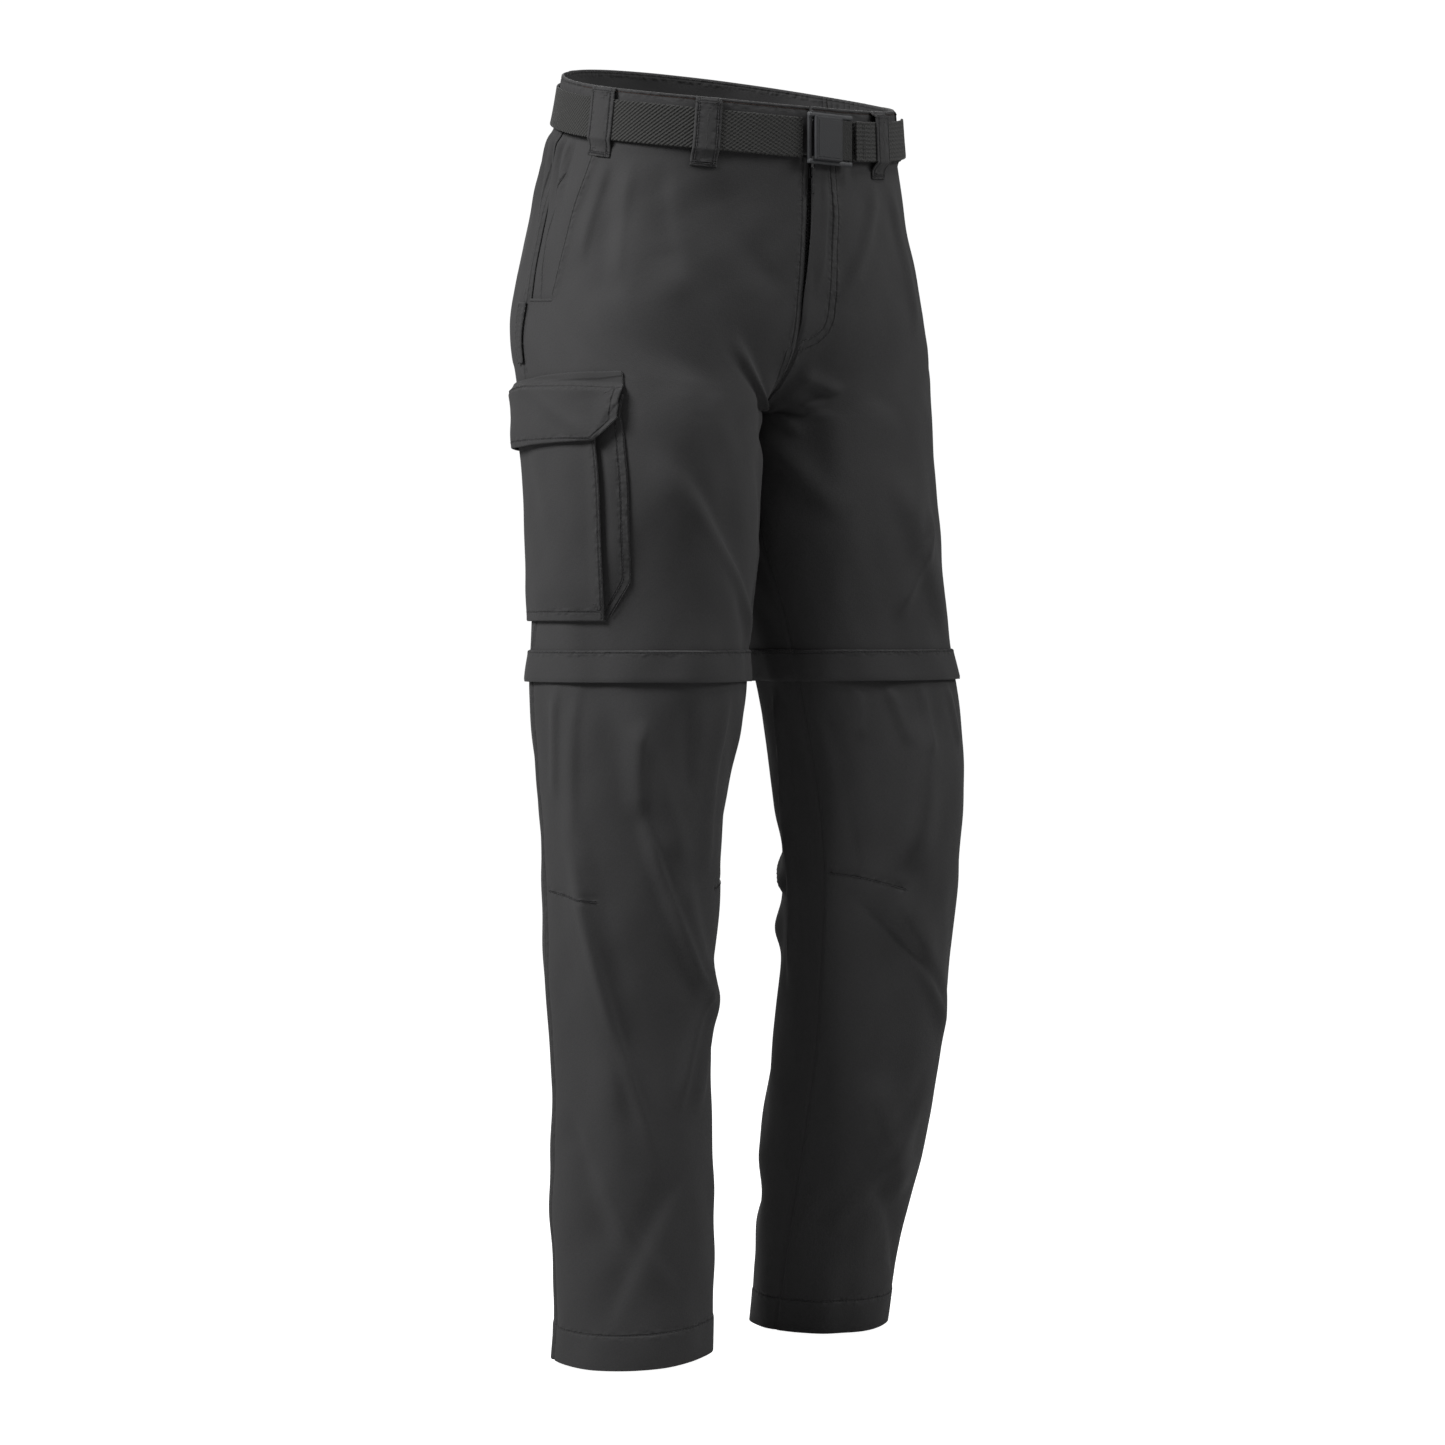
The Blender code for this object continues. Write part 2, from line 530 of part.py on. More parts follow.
def add_waist_strip(name, turns, heights, lifts, thickness, colour, roughness=0.85):
    """A strip round the waist; lifts holds its inner face's height off the cloth on each row."""
    turns, heights = np.array(turns)[None, :], np.array(heights)[:, None]
    lifts = np.array(lifts) if np.ndim(lifts) == 2 else np.array(lifts)[:, None]
    outer, inner = (round_waist(turns, heights, lifts + extra) for extra in (thickness, 0.0))
    return add_wall(name, outer, inner, colour, roughness)


def spread(start, end, pitch):
    """Even steps from start to end, about one pitch apart."""
    count = max(1, round(abs(end - start) / pitch))
    return [start + (end - start) * k / count for k in range(count + 1)]


ELASTIC_FROM, ELASTIC_TO = 0.425, 0.560
SEAM_STEP = 0.0004


def build_waistband():
    """Two fronts that meet under the buckle, gathered sides and the back."""
    heights = (WAISTBAND_TOP, 0.0055, WAISTBAND_BOTTOM)
    lifts = (PROUD - BAND_CLOTH,) * 3
    spans = (
        ("waistband_right_front", 0.0006, ELASTIC_FROM - SEAM_STEP, 0.04),
        ("waistband_elastic_right", ELASTIC_FROM + SEAM_STEP, ELASTIC_TO - SEAM_STEP, 0.0075),
        ("waistband_back", ELASTIC_TO + SEAM_STEP, 2 - ELASTIC_TO - SEAM_STEP, 0.045),
        ("waistband_elastic_left", 2 - ELASTIC_TO + SEAM_STEP, 2 - ELASTIC_FROM - SEAM_STEP, 0.0075),
        ("waistband_left_front", 2 - ELASTIC_FROM + SEAM_STEP, 1.9994, 0.04),
    )
    for name, start, end, pitch in spans:
        add_waist_strip(name, spread(start, end, pitch), heights, lifts, BAND_CLOTH, CHARCOAL)


BELT_LIFT = PROUD + 2 * GAP
TAIL_LIFT = BELT_LIFT + WEBBING + GAP
BUCKLE_MIDDLE, BUCKLE_WIDTH, BUCKLE_HEIGHT = 0.0178, 0.050, 0.042
BUCKLE_REST_X, BUCKLE_SWING, BUCKLE_GAP = 0.004, 0.105, 0.0011
FRAME_DEPTH, FRAME_WINDOW = 0.0036, (0.043, 0.034)
PLATE_SIZE, PLATE_X = (0.0300, 0.0034, 0.0365), 0.0095
TAIL_END, TAIL_STAND_OFF, TAIL_CORNER = 0.285, 0.0018, 0.009


def front_turn(x):
    """Share of the half waist from the centre front to a place x, small and near it."""
    return abs(x) / (math.pi * HIPS[0][HALF_WIDTH])


def build_belt():
    """Webbing from one side of the buckle right round to the other, and the tail over its left end."""
    right_end = front_turn(BUCKLE_MIDDLE - BUCKLE_WIDTH / 2 - BUCKLE_GAP)
    left_end = front_turn(BUCKLE_MIDDLE + BUCKLE_WIDTH / 2 + BUCKLE_GAP)
    heights = (BELT_MIDDLE + BELT_WIDTH / 2, BELT_MIDDLE - BELT_WIDTH / 2)
    turns = spread(right_end, 2 - left_end, 0.045)
    add_waist_strip("belt", turns, heights, (BELT_LIFT,) * 2, WEBBING, OLIVE_BLACK)

    tail = np.array(spread(left_end, TAIL_END, 0.03))
    stand_off = TAIL_STAND_OFF * smooth((np.linspace(0, 1, len(tail)) - 0.62) / 0.38)
    height = np.repeat(np.array(heights)[:, None], len(tail), axis=1)
    height[-1, -1] += TAIL_CORNER
    outer, inner = (round_waist(2 - tail, height, TAIL_LIFT + stand_off + extra) for extra in (WEBBING, 0.0))
    add_wall("belt_tail", outer, inner, OLIVE_BLACK)


LOOPS = (
    ("loop_front_right", 0.1735, BELT_LIFT),
    ("loop_side_right", 0.352, BELT_LIFT),
    ("loop_back_right", 0.740, BELT_LIFT),
    ("loop_centre_back", 1.000, BELT_LIFT),
    ("loop_back_left", 1.260, BELT_LIFT),
    ("loop_side_left", 1.648, BELT_LIFT),
    ("loop_front_left", 1.839, TAIL_LIFT),
)


def build_loops():
    """Each loop is sewn to the waistband's top edge, bridges the belt and ends below it on the panel."""
    for name, middle, under in LOOPS:
        step = np.linalg.norm(round_waist(middle + 0.01, 0.0, 0.0) - round_waist(middle - 0.01, 0.0, 0.0))
        half = LOOP_WIDTH / 2 * 0.02 / step
        bridge = under + WEBBING + GAP
        on_band, on_panel = PROUD + GAP, GAP + 0.0001
        heights = (0.0250, 0.0222, 0.0181, -0.0181, -0.0224, -0.0320)
        lifts = (on_band, on_band, bridge, bridge, on_panel, on_panel)
        add_waist_strip(name, spread(middle - half, middle + half, half), heights, lifts, 0.0015, CHARCOAL)


def add_block(name, size, centre, bevel, colour, roughness, swing=0.0, hole=None):
    """A moulded block with rounded edges, and an optional window through its front."""
    bm = bmesh.new()
    bmesh.ops.create_cube(bm, size=1.0)
    bmesh.ops.scale(bm, vec=size, verts=bm.verts[:])
    if hole:
        faces = [f for f in bm.faces if abs(f.normal.y) > 0.9]
        rail = (size[0] - hole[0]) / 2
        bmesh.ops.inset_individual(bm, faces=faces, thickness=rail)
        for face in faces:
            tall = max(abs(v.co.z) for v in face.verts)
            for vert in face.verts:
                vert.co.z *= hole[1] / 2 / tall
        bmesh.ops.bridge_loops(bm, edges=[e for f in faces for e in f.edges])
        bmesh.ops.delete(bm, geom=faces, context="FACES_ONLY")
    edges = [e for e in bm.edges if len(e.link_faces) == 2 and e.calc_face_angle() > 1.0]
    bmesh.ops.bevel(bm, geom=edges, offset=bevel, affect="EDGES", segments=2, profile=0.5, material=-1)
    turn = Matrix.Translation(centre) @ Matrix.Rotation(swing, 4, "Z")
    bmesh.ops.transform(bm, matrix=turn, verts=bm.verts[:])
    return add_object(name, bm, colour, roughness)


def build_buckle():
    """The moulded buckle at the centre front: a frame the webbing butts up to, and a plate on it."""
    cloth = Vector(round_waist(2 - front_turn(BUCKLE_REST_X), BELT_MIDDLE, 0.0))
    back = cloth + Vector((0, -PROUD - 4 * GAP, 0))
    along = Vector((math.cos(BUCKLE_SWING), math.sin(BUCKLE_SWING), 0))
    ahead = Vector((along.y, -along.x, 0))
    middle = back + (BUCKLE_MIDDLE - BUCKLE_REST_X) * along + FRAME_DEPTH / 2 * ahead
    add_block("buckle_frame", (BUCKLE_WIDTH, FRAME_DEPTH, BUCKLE_HEIGHT), middle, 0.0006, BUCKLE_GREY, 0.5,
              BUCKLE_SWING, FRAME_WINDOW)
    plate = middle + (PLATE_X - BUCKLE_MIDDLE) * along + ((FRAME_DEPTH + PLATE_SIZE[1]) / 2 + GAP) * ahead
    add_block("buckle_plate", PLATE_SIZE, plate, 0.0009, BUCKLE_GREY, 0.5, BUCKLE_SWING)


ZIP_TURN, ZIP_LIFT = 0.012, -CLOTH - 3 * GAP - TAPE
PULL_AXIS_HEIGHT, PULL_X = -0.0265, 0.0034
SLIDER_SIZE, PULL_SIZE = (0.0046, 0.0034, 0.0090), (0.0042, 0.0014, 0.0220)


def build_fly():
    """Zip tape under both edges of the fly, a slider in the parting and a pull that hangs from it."""
    turns = np.array(spread(-ZIP_TURN, ZIP_TURN, ZIP_TURN))[None, :]
    heights = np.array((FLY_TOP - 0.0020,) + HIP_ROWS + (FLY_BOTTOM,))[:, None]
    outer, inner = (lifted(RIGHT, turns, heights, ZIP_LIFT + extra) for extra in (TAPE, 0.0))
    add_wall("fly_zip", outer, inner, ZIP_BLACK)

    cloth = Vector(lifted(RIGHT, 0.0, PULL_AXIS_HEIGHT, 0.0))
    slider = cloth + Vector((PULL_X, 0.0001, -0.0030))
    add_block("fly_slider", SLIDER_SIZE, slider, 0.0005, ZIP_BLACK, 0.45)

    pivot = bpy.data.objects.new("fly_pull_pivot", None)
    bpy.context.scene.collection.objects.link(pivot)
    pivot.location = cloth + Vector((PULL_X, -0.0029, 0.0))
    pull = add_block("fly_pull", PULL_SIZE, Vector((0, 0, -0.0100)), 0.0004, ZIP_BLACK, 0.45)
    pull.parent = pivot


def build_trousers():
    for leftover in list(bpy.data.objects):
        bpy.data.objects.remove(leftover, do_unlink=True)
    for side in (RIGHT, LEFT):
        build_upper_legs(side)
        build_knee_zip(side)
        build_zip_covers(side)
        build_shins(side)
        build_pocket_facing(side)
    build_zip_pocket()
    build_cargo_pocket()
    build_waistband()
    build_belt()
    build_loops()
    build_buckle()
    build_fly()
    bpy.context.view_layer.update()


build_trousers()
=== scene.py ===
"""The looks of zip-off trousers with a webbing belt, filled out as worn. Metres, +Z up.

The wearer faces -Y, so the wearer's left is +X. A place on the cloth is (side, across, height): across runs
from 0 at the centre front or the inseam, through 0.5 at the side seam, to 1 at the centre back or the inseam.
"""

import functools
import json
import math

import bmesh
import bpy
import numpy as np
from mathutils import Matrix, Vector

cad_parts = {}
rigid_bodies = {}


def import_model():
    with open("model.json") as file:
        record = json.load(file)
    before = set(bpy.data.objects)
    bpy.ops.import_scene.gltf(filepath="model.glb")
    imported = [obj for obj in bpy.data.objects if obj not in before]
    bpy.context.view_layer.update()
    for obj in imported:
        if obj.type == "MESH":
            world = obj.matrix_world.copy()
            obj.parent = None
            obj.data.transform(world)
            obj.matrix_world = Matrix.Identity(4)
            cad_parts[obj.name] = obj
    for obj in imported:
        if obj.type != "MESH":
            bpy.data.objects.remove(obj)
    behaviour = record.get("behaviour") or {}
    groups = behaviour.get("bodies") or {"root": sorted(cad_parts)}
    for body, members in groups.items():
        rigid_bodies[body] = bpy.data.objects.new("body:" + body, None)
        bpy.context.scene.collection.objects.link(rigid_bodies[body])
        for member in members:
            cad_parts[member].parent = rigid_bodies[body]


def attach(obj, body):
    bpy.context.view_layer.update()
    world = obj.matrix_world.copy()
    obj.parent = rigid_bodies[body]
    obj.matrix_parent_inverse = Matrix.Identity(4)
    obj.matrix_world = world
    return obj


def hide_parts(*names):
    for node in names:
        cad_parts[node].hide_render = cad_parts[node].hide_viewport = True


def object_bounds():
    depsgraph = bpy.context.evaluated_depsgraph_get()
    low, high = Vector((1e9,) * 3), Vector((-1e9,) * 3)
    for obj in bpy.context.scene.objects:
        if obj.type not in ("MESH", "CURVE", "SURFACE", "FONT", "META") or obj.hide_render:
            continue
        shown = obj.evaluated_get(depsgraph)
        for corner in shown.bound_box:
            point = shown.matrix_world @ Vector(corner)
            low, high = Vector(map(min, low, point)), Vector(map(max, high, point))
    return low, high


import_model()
cad_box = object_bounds()

RIGHT, LEFT = -1, 1

# Heights, measured at the side seams
WAISTBAND_TOP, WAISTBAND_BOTTOM = 0.0255, -0.0145
FORK_TOP, CROTCH, FORK_EASE = -0.155, -0.245, 0.060
ZIP_COVER_TOP, ZIP_COVER_BOTTOM = -0.4415, -0.4675
KNEE_ZIP_TOP, KNEE_ZIP_BOTTOM = -0.4520, -0.4640
HEM = -1.0145
WAIST_SLOPE, BACK_RISE, SIDE_DIP = 0.21, 0.003, 0.004

# Thicknesses and clearances
CLOTH, BAND_CLOTH, WEBBING = 0.0016, 0.0026, 0.0022
GAP = 0.0003
PROUD = 0.0010
BELT_WIDTH, BELT_MIDDLE, LOOP_WIDTH = 0.0335, -0.001, 0.022

# Hips: height, half width at the side, depth to the front and to the seat, squareness of front and seat
HIPS = (
    (0.0255, 0.1520, 0.1015, 0.1130, 0.01, 0.02),
    (-0.0145, 0.1570, 0.1005, 0.1200, 0.01, 0.03),
    (-0.0750, 0.1690, 0.0990, 0.1360, 0.02, 0.06),
    (-0.1200, 0.1770, 0.0965, 0.1420, 0.05, 0.07),
    (-0.1550, 0.1830, 0.0930, 0.1440, 0.07, 0.08),
    (-0.2000, 0.1910, 0.0900, 0.1420, 0.09, 0.09),
    (-0.2450, 0.1950, 0.0900, 0.1380, 0.09, 0.07),
)
HALF_WIDTH, FRONT, BACK, FRONT_SQUARE, BACK_SQUARE = 1, 2, 3, 4, 5
SIDE_SEAM_TURN = 17

# Legs: height, middle across and front to back, half width, depth to the front and the back, toe-out
LEGS = {
    RIGHT: (
        (-0.2450, 0.0965, -0.001, 0.0960, 0.100, 0.106, 3),
        (-0.3000, 0.0960, -0.004, 0.0935, 0.093, 0.096, 6),
        (-0.3500, 0.0955, -0.002, 0.0920, 0.086, 0.088, 8),
        (-0.4100, 0.0965, -0.001, 0.0905, 0.079, 0.081, 10),
        (-0.4750, 0.0988, -0.001, 0.0915, 0.075, 0.075, 12),
        (-0.5500, 0.1030, 0.001, 0.0830, 0.069, 0.071, 12),
        (-0.6300, 0.1055, 0.000, 0.0755, 0.065, 0.066, 12),
        (-0.7500, 0.1060, 0.001, 0.0680, 0.058, 0.060, 12),
        (-0.8500, 0.1050, 0.000, 0.0675, 0.058, 0.060, 12),
        (-0.9500, 0.1035, -0.001, 0.0685, 0.058, 0.059, 13),
        (-1.0145, 0.1040, 0.000, 0.0685, 0.058, 0.059, 13),
    ),
    LEFT: (
        (-0.2450, 0.0965, 0.003, 0.0960, 0.097, 0.104, 3),
        (-0.3000, 0.0980, -0.007, 0.0925, 0.092, 0.096, 6),
        (-0.3500, 0.1000, -0.014, 0.0915, 0.088, 0.092, 9),
        (-0.4100, 0.1055, -0.020, 0.0885, 0.083, 0.087, 15),
        (-0.4750, 0.1140, -0.027, 0.0880, 0.080, 0.082, 17),
        (-0.5500, 0.1180, -0.033, 0.0790, 0.082, 0.082, 18),
        (-0.6300, 0.1200, -0.034, 0.0720, 0.077, 0.076, 19),
        (-0.7100, 0.1205, -0.026, 0.0690, 0.075, 0.074, 19),
        (-0.7600, 0.1210, -0.020, 0.0680, 0.074, 0.073, 19),
        (-0.8600, 0.1210, -0.002, 0.0675, 0.068, 0.067, 18),
        (-0.9500, 0.1200, 0.018, 0.0670, 0.060, 0.061, 17),
        (-1.0145, 0.1195, 0.031, 0.0655, 0.055, 0.056, 16),
    ),
}
MIDDLE_X, MIDDLE_Y, LEG_HALF, LEG_FRONT, LEG_BACK, TOE_OUT = 1, 2, 3, 4, 5, 6

# The largest folds: side, across and height where one starts and ends, half width, height (below 0: a trough)
FOLDS = (
    (RIGHT, 0.02, -0.200, 0.10, -0.262, 0.010, 0.0040),
    (RIGHT, 0.06, -0.262, 0.03, -0.370, 0.011, 0.0045),
    (RIGHT, 0.20, -0.120, 0.09, -0.250, 0.020, 0.0035),
    (RIGHT, 0.30, -0.285, 0.13, -0.425, 0.016, 0.0040),
    (RIGHT, 0.33, -0.040, 0.27, -0.160, 0.016, -0.0030),
    (RIGHT, 0.31, -0.480, 0.22, -0.620, 0.014, 0.0040),
    (RIGHT, 0.22, -0.620, 0.13, -0.745, 0.013, 0.0045),
    (RIGHT, 0.40, -0.560, 0.34, -0.840, 0.013, 0.0050),
    (RIGHT, 0.09, -0.700, 0.15, -0.820, 0.012, 0.0040),
    (RIGHT, 0.44, -0.820, 0.36, -0.930, 0.013, -0.0035),
    (LEFT, 0.02, -0.205, 0.12, -0.235, 0.009, 0.0035),
    (LEFT, 0.03, -0.250, 0.14, -0.330, 0.012, 0.0035),
    (LEFT, 0.22, -0.300, 0.30, -0.430, 0.015, 0.0045),
    (LEFT, 0.20, -0.500, 0.16, -0.620, 0.014, 0.0045),
    (LEFT, 0.04, -0.480, 0.08, -0.630, 0.011, -0.0040),
    (LEFT, 0.13, -0.640, 0.28, -0.770, 0.014, 0.0045),
    (LEFT, 0.10, -0.800, 0.22, -0.900, 0.014, 0.0040),
    (LEFT, 0.40, -0.060, 0.30, -0.170, 0.016, -0.0030),
    (RIGHT, 0.66, -0.250, 0.82, -0.300, 0.014, 0.0040),
    (RIGHT, 0.64, -0.590, 0.80, -0.660, 0.013, -0.0045),
    (RIGHT, 0.70, -0.700, 0.84, -0.860, 0.014, 0.0040),
    (LEFT, 0.66, -0.255, 0.84, -0.290, 0.014, 0.0040),
    (LEFT, 0.62, -0.560, 0.86, -0.610, 0.013, -0.0060),
    (LEFT, 0.64, -0.630, 0.84, -0.690, 0.014, 0.0050),
    (LEFT, 0.72, -0.760, 0.86, -0.900, 0.014, 0.0040),
)

# Finer creases between the folds, in the same columns, and how far each one bows to the side
CREASES = (
    (RIGHT, 0.110, -0.175, 0.020, -0.232, 0.0055, 0.0030, 0.004),
    (RIGHT, 0.022, -0.232, 0.016, -0.330, 0.0060, 0.0028, 0.003),
    (RIGHT, 0.270, -0.300, 0.030, -0.437, 0.0060, 0.0024, 0.006),
    (RIGHT, 0.060, -0.350, 0.040, -0.425, 0.0060, 0.0016, 0.000),
    (RIGHT, 0.330, -0.036, 0.350, -0.120, 0.0060, 0.0010, 0.002),
    (RIGHT, 0.285, -0.036, 0.270, -0.140, 0.0080, 0.0012, 0.003),
    (RIGHT, 0.235, -0.036, 0.190, -0.130, 0.0090, -0.0014, 0.002),
    (RIGHT, 0.150, -0.040, 0.050, -0.140, 0.0120, -0.0016, 0.006),
    (RIGHT, 0.285, -0.575, 0.160, -0.735, 0.0050, 0.0026, 0.004),
    (RIGHT, 0.290, -0.500, 0.287, -0.575, 0.0070, 0.0022, 0.003),
    (RIGHT, 0.400, -0.600, 0.290, -0.845, 0.0048, 0.0024, 0.005),
    (RIGHT, 0.120, -0.690, 0.185, -0.815, 0.0060, 0.0018, 0.003),
    (RIGHT, 0.430, -0.474, 0.440, -0.560, 0.0050, 0.0016, 0.001),
    (RIGHT, 0.390, -0.472, 0.400, -0.600, 0.0070, 0.0016, 0.002),
    (RIGHT, 0.150, -0.474, 0.155, -0.620, 0.0070, 0.0016, 0.002),
    (RIGHT, 0.225, -0.480, 0.205, -0.560, 0.0080, -0.0014, 0.002),
    (RIGHT, 0.380, -0.860, 0.250, -0.960, 0.0090, 0.0014, 0.004),
    (RIGHT, 0.200, -0.860, 0.330, -0.985, 0.0100, -0.0012, 0.003),
    (LEFT, 0.280, -0.325, 0.180, -0.412, 0.0050, 0.0022, 0.003),
    (LEFT, 0.030, -0.196, 0.130, -0.214, 0.0045, 0.0020, 0.002),
    (LEFT, 0.020, -0.222, 0.110, -0.262, 0.0060, 0.0022, 0.003),
    (LEFT, 0.150, -0.036, 0.065, -0.145, 0.0065, 0.0020, 0.003),
    (LEFT, 0.200, -0.040, 0.220, -0.165, 0.0070, 0.0016, 0.003),
    (LEFT, 0.034, -0.028, 0.020, -0.140, 0.0028, 0.0009, 0.001),
    (LEFT, 0.048, -0.024, 0.043, -0.110, 0.0026, 0.0009, 0.001),
    (LEFT, 0.100, -0.472, 0.085, -0.515, 0.0045, 0.0014, 0.001),
    (LEFT, 0.150, -0.472, 0.170, -0.520, 0.0050, 0.0014, 0.001),
    (LEFT, 0.215, -0.472, 0.205, -0.530, 0.0050, 0.0014, 0.001),
    (LEFT, 0.275, -0.472, 0.300, -0.525, 0.0050, 0.0014, 0.001),
    (LEFT, 0.940, -0.478, 0.915, -0.590, 0.0050, 0.0030, 0.003),
    (LEFT, 0.915, -0.585, 0.925, -0.720, 0.0055, 0.0032, 0.005),
    (LEFT, 0.060, -0.648, 0.260, -0.745, 0.0060, -0.0020, 0.004),
    (LEFT, 0.250, -0.800, 0.120, -0.930, 0.0090, 0.0016, 0.004),
    (LEFT, 0.150, -0.880, 0.280, -0.980, 0.0100, -0.0014, 0.004),
    (RIGHT, 0.600, -0.200, 0.900, -0.245, 0.0070, 0.0022, 0.004),
    (RIGHT, 0.680, -0.330, 0.860, -0.410, 0.0080, 0.0020, 0.004),
    (RIGHT, 0.620, -0.560, 0.780, -0.600, 0.0060, 0.0024, 0.003),
    (RIGHT, 0.760, -0.640, 0.900, -0.720, 0.0070, 0.0020, 0.004),
    (RIGHT, 0.640, -0.880, 0.800, -0.960, 0.0090, 0.0016, 0.004),
    (LEFT, 0.620, -0.205, 0.880, -0.238, 0.0070, 0.0022, 0.004),
    (LEFT, 0.640, -0.350, 0.820, -0.430, 0.0080, 0.0020, 0.004),
    (LEFT, 0.600, -0.520, 0.820, -0.560, 0.0060, 0.0026, 0.003),
    (LEFT, 0.640, -0.600, 0.900, -0.650, 0.0060, 0.0026, 0.004),
    (LEFT, 0.660, -0.860, 0.820, -0.950, 0.0090, 0.0018, 0.004),
    (LEFT, 0.360, -0.560, 0.420, -0.700, 0.0090, 0.0018, 0.003),
)

# Folds and creases fade out within SEAM_CALM of the inner seams, so that both panels meet there
FOLD_DEPTH, CREASE_DEPTH, SEAM_CALM = 1.4, 2.0, 0.014
GATHER_PITCH, GATHER_HEIGHT = 0.016, 0.0042

# Where round each hem it hangs lowest, and by how much
HEM_DROPS, HEM_REACH = {RIGHT: (0.34, 0.011), LEFT: (0.17, 0.007)}, 0.12

# Fly: the left front's edge laps the zip, stands off it and parts from the right front
FLY_TOP, FLY_BOTTOM = -0.0150, -0.172
FLY_LIFT, FLY_LAP_WIDTH, FLY_PARTING = 0.0030, 0.034, 0.0048

# The cargo pocket, centred on the right side seam
POCKET_TOP, POCKET_BOTTOM = -0.232, -0.4180
POCKET_HALF, POCKET_FRONT_HALF, POCKET_BULK = 0.098, 0.078, 0.0012
FLAP_TOP, FLAP_BOTTOM, FLAP_HALF, FLAP_CUT = -0.2205, -0.2753, 0.0965, 0.0185
FLAP_TOP_RISE, FLAP_BOTTOM_RISE = 0.0115, 0.0037
FLAP_STAND_OFF, FLAP_RISE_ROOM = 0.0030, 0.0115
POCKET_CORNER_CUT, POCKET_EASE = 0.033, 0.030

# Hand pockets: the slanted mouth's distance from the side seam at its two ends
MOUTH_TOP_OUT, MOUTH_LOW_OUT, MOUTH_LOW = 0.0605, 0.039, -0.153
POCKET_DEPTH = 0.0018


def smooth(share):
    """Eased step from 0 to 1."""
    share = np.clip(share, 0.0, 1.0)
    return share * share * (3.0 - 2.0 * share)


@functools.lru_cache(maxsize=None)
def curve(rows, column):
    """One column of a table as rising heights, values and slopes."""
    table = np.array(rows, dtype=float)[::-1]
    return table[:, 0], table[:, column], np.gradient(table[:, column], table[:, 0])


def read(rows, column, height):
    """Smooth curve through one column of a table, read at a height."""
    known, values, slopes = curve(rows, column)
    height = np.clip(height, known[0], known[-1])
    k = np.clip(np.searchsorted(known, height, side="right") - 1, 0, len(known) - 2)
    step = known[k + 1] - known[k]
    q = (height - known[k]) / step
    low = values[k] * (1 + 2 * q) * (1 - q) ** 2 + slopes[k] * step * q * (1 - q) ** 2
    high = values[k + 1] * q * q * (3 - 2 * q) - slopes[k + 1] * step * q * q * (1 - q)
    return low + high


def hip_ring(side, across, height):
    """One half of the hips, from the centre front round the side to the centre back."""
    angle = np.pi * across + np.radians(SIDE_SEAM_TURN) * np.sin(np.pi * across) ** 2
    seat = np.cos(angle) < 0
    depth = np.where(seat, read(HIPS, BACK, height), read(HIPS, FRONT, height))
    square = np.where(seat, read(HIPS, BACK_SQUARE, height), read(HIPS, FRONT_SQUARE, height))
    swell = 1 + square * np.sin(2 * angle) ** 2
    x = side * read(HIPS, HALF_WIDTH, height) * np.sin(angle) * swell
    return x, -depth * np.cos(angle) * swell


def leg_ring(side, across, height):
    """A whole leg, from the inseam round the front, the side seam and the back."""
    rows = LEGS[side]
    toe_out = read(rows, TOE_OUT, height)
    angle = 2 * np.pi * across + np.radians(SIDE_SEAM_TURN - toe_out) * np.sin(np.pi * across) ** 2
    front, back = read(rows, LEG_FRONT, height), read(rows, LEG_BACK, height)
    wide = -side * read(rows, LEG_HALF, height) * np.cos(angle)
    deep = -np.where(np.sin(angle) > 0, front, back) * np.sin(angle)
    turn = side * np.radians(toe_out)
    x = side * read(rows, MIDDLE_X, height) + wide * np.cos(turn) - deep * np.sin(turn)
    return x, read(rows, MIDDLE_Y, height) + wide * np.sin(turn) + deep * np.cos(turn)


def joined_form(side, across, height):
    """The hips' halves, which turn under at the fork and close into the legs."""
    across, height = np.broadcast_arrays(np.asarray(across, float), np.asarray(height, float))
    down = np.clip((FORK_TOP - height) / (FORK_TOP - CROTCH), 0, 1)
    edge = np.abs(np.cos(np.pi * across))
    near_edge = edge**20
    turned = near_edge * (1 - np.cos(down * np.pi / 2)) + (1 - near_edge) * smooth(down)
    hip_x, hip_y = hip_ring(side, across, height)
    leg_x, leg_y = leg_ring(side, across, np.minimum(height, CROTCH))
    x, y = hip_x + turned * (leg_x - hip_x), hip_y + turned * (leg_y - hip_y)
    dip = edge**1.5 * (FORK_TOP - CROTCH) * (np.sin(down * np.pi / 2) - down)
    lean = WAIST_SLOPE * y + BACK_RISE * (np.maximum(y, 0) / HIPS[0][BACK]) ** 2
    lean = lean - SIDE_DIP * (np.maximum(-x, 0) / HIPS[0][HALF_WIDTH]) ** 3
    return np.stack([x, y, height - dip + lean * smooth((height - CROTCH) / -CROTCH)], axis=-1)


def body_form(side, across, height):
    """The trousers' shape without folds, evened out where the hips run into the legs."""
    across, height = np.broadcast_arrays(np.asarray(across, float), np.asarray(height, float))
    points = np.array(joined_form(side, across, height))
    near = np.abs(height - CROTCH) < FORK_EASE
    if near.any():
        over, at = across[near], height[near]
        even = sum(joined_form(side, over, at + step) for step in (-0.030, -0.015, 0.0, 0.015, 0.030)) / 5
        weight = smooth((FORK_EASE - np.abs(at - CROTCH)) / 0.04) * (1 - np.abs(np.cos(np.pi * over)) ** 8)
        points[near] += weight[..., None] * (even - points[near])
    return points


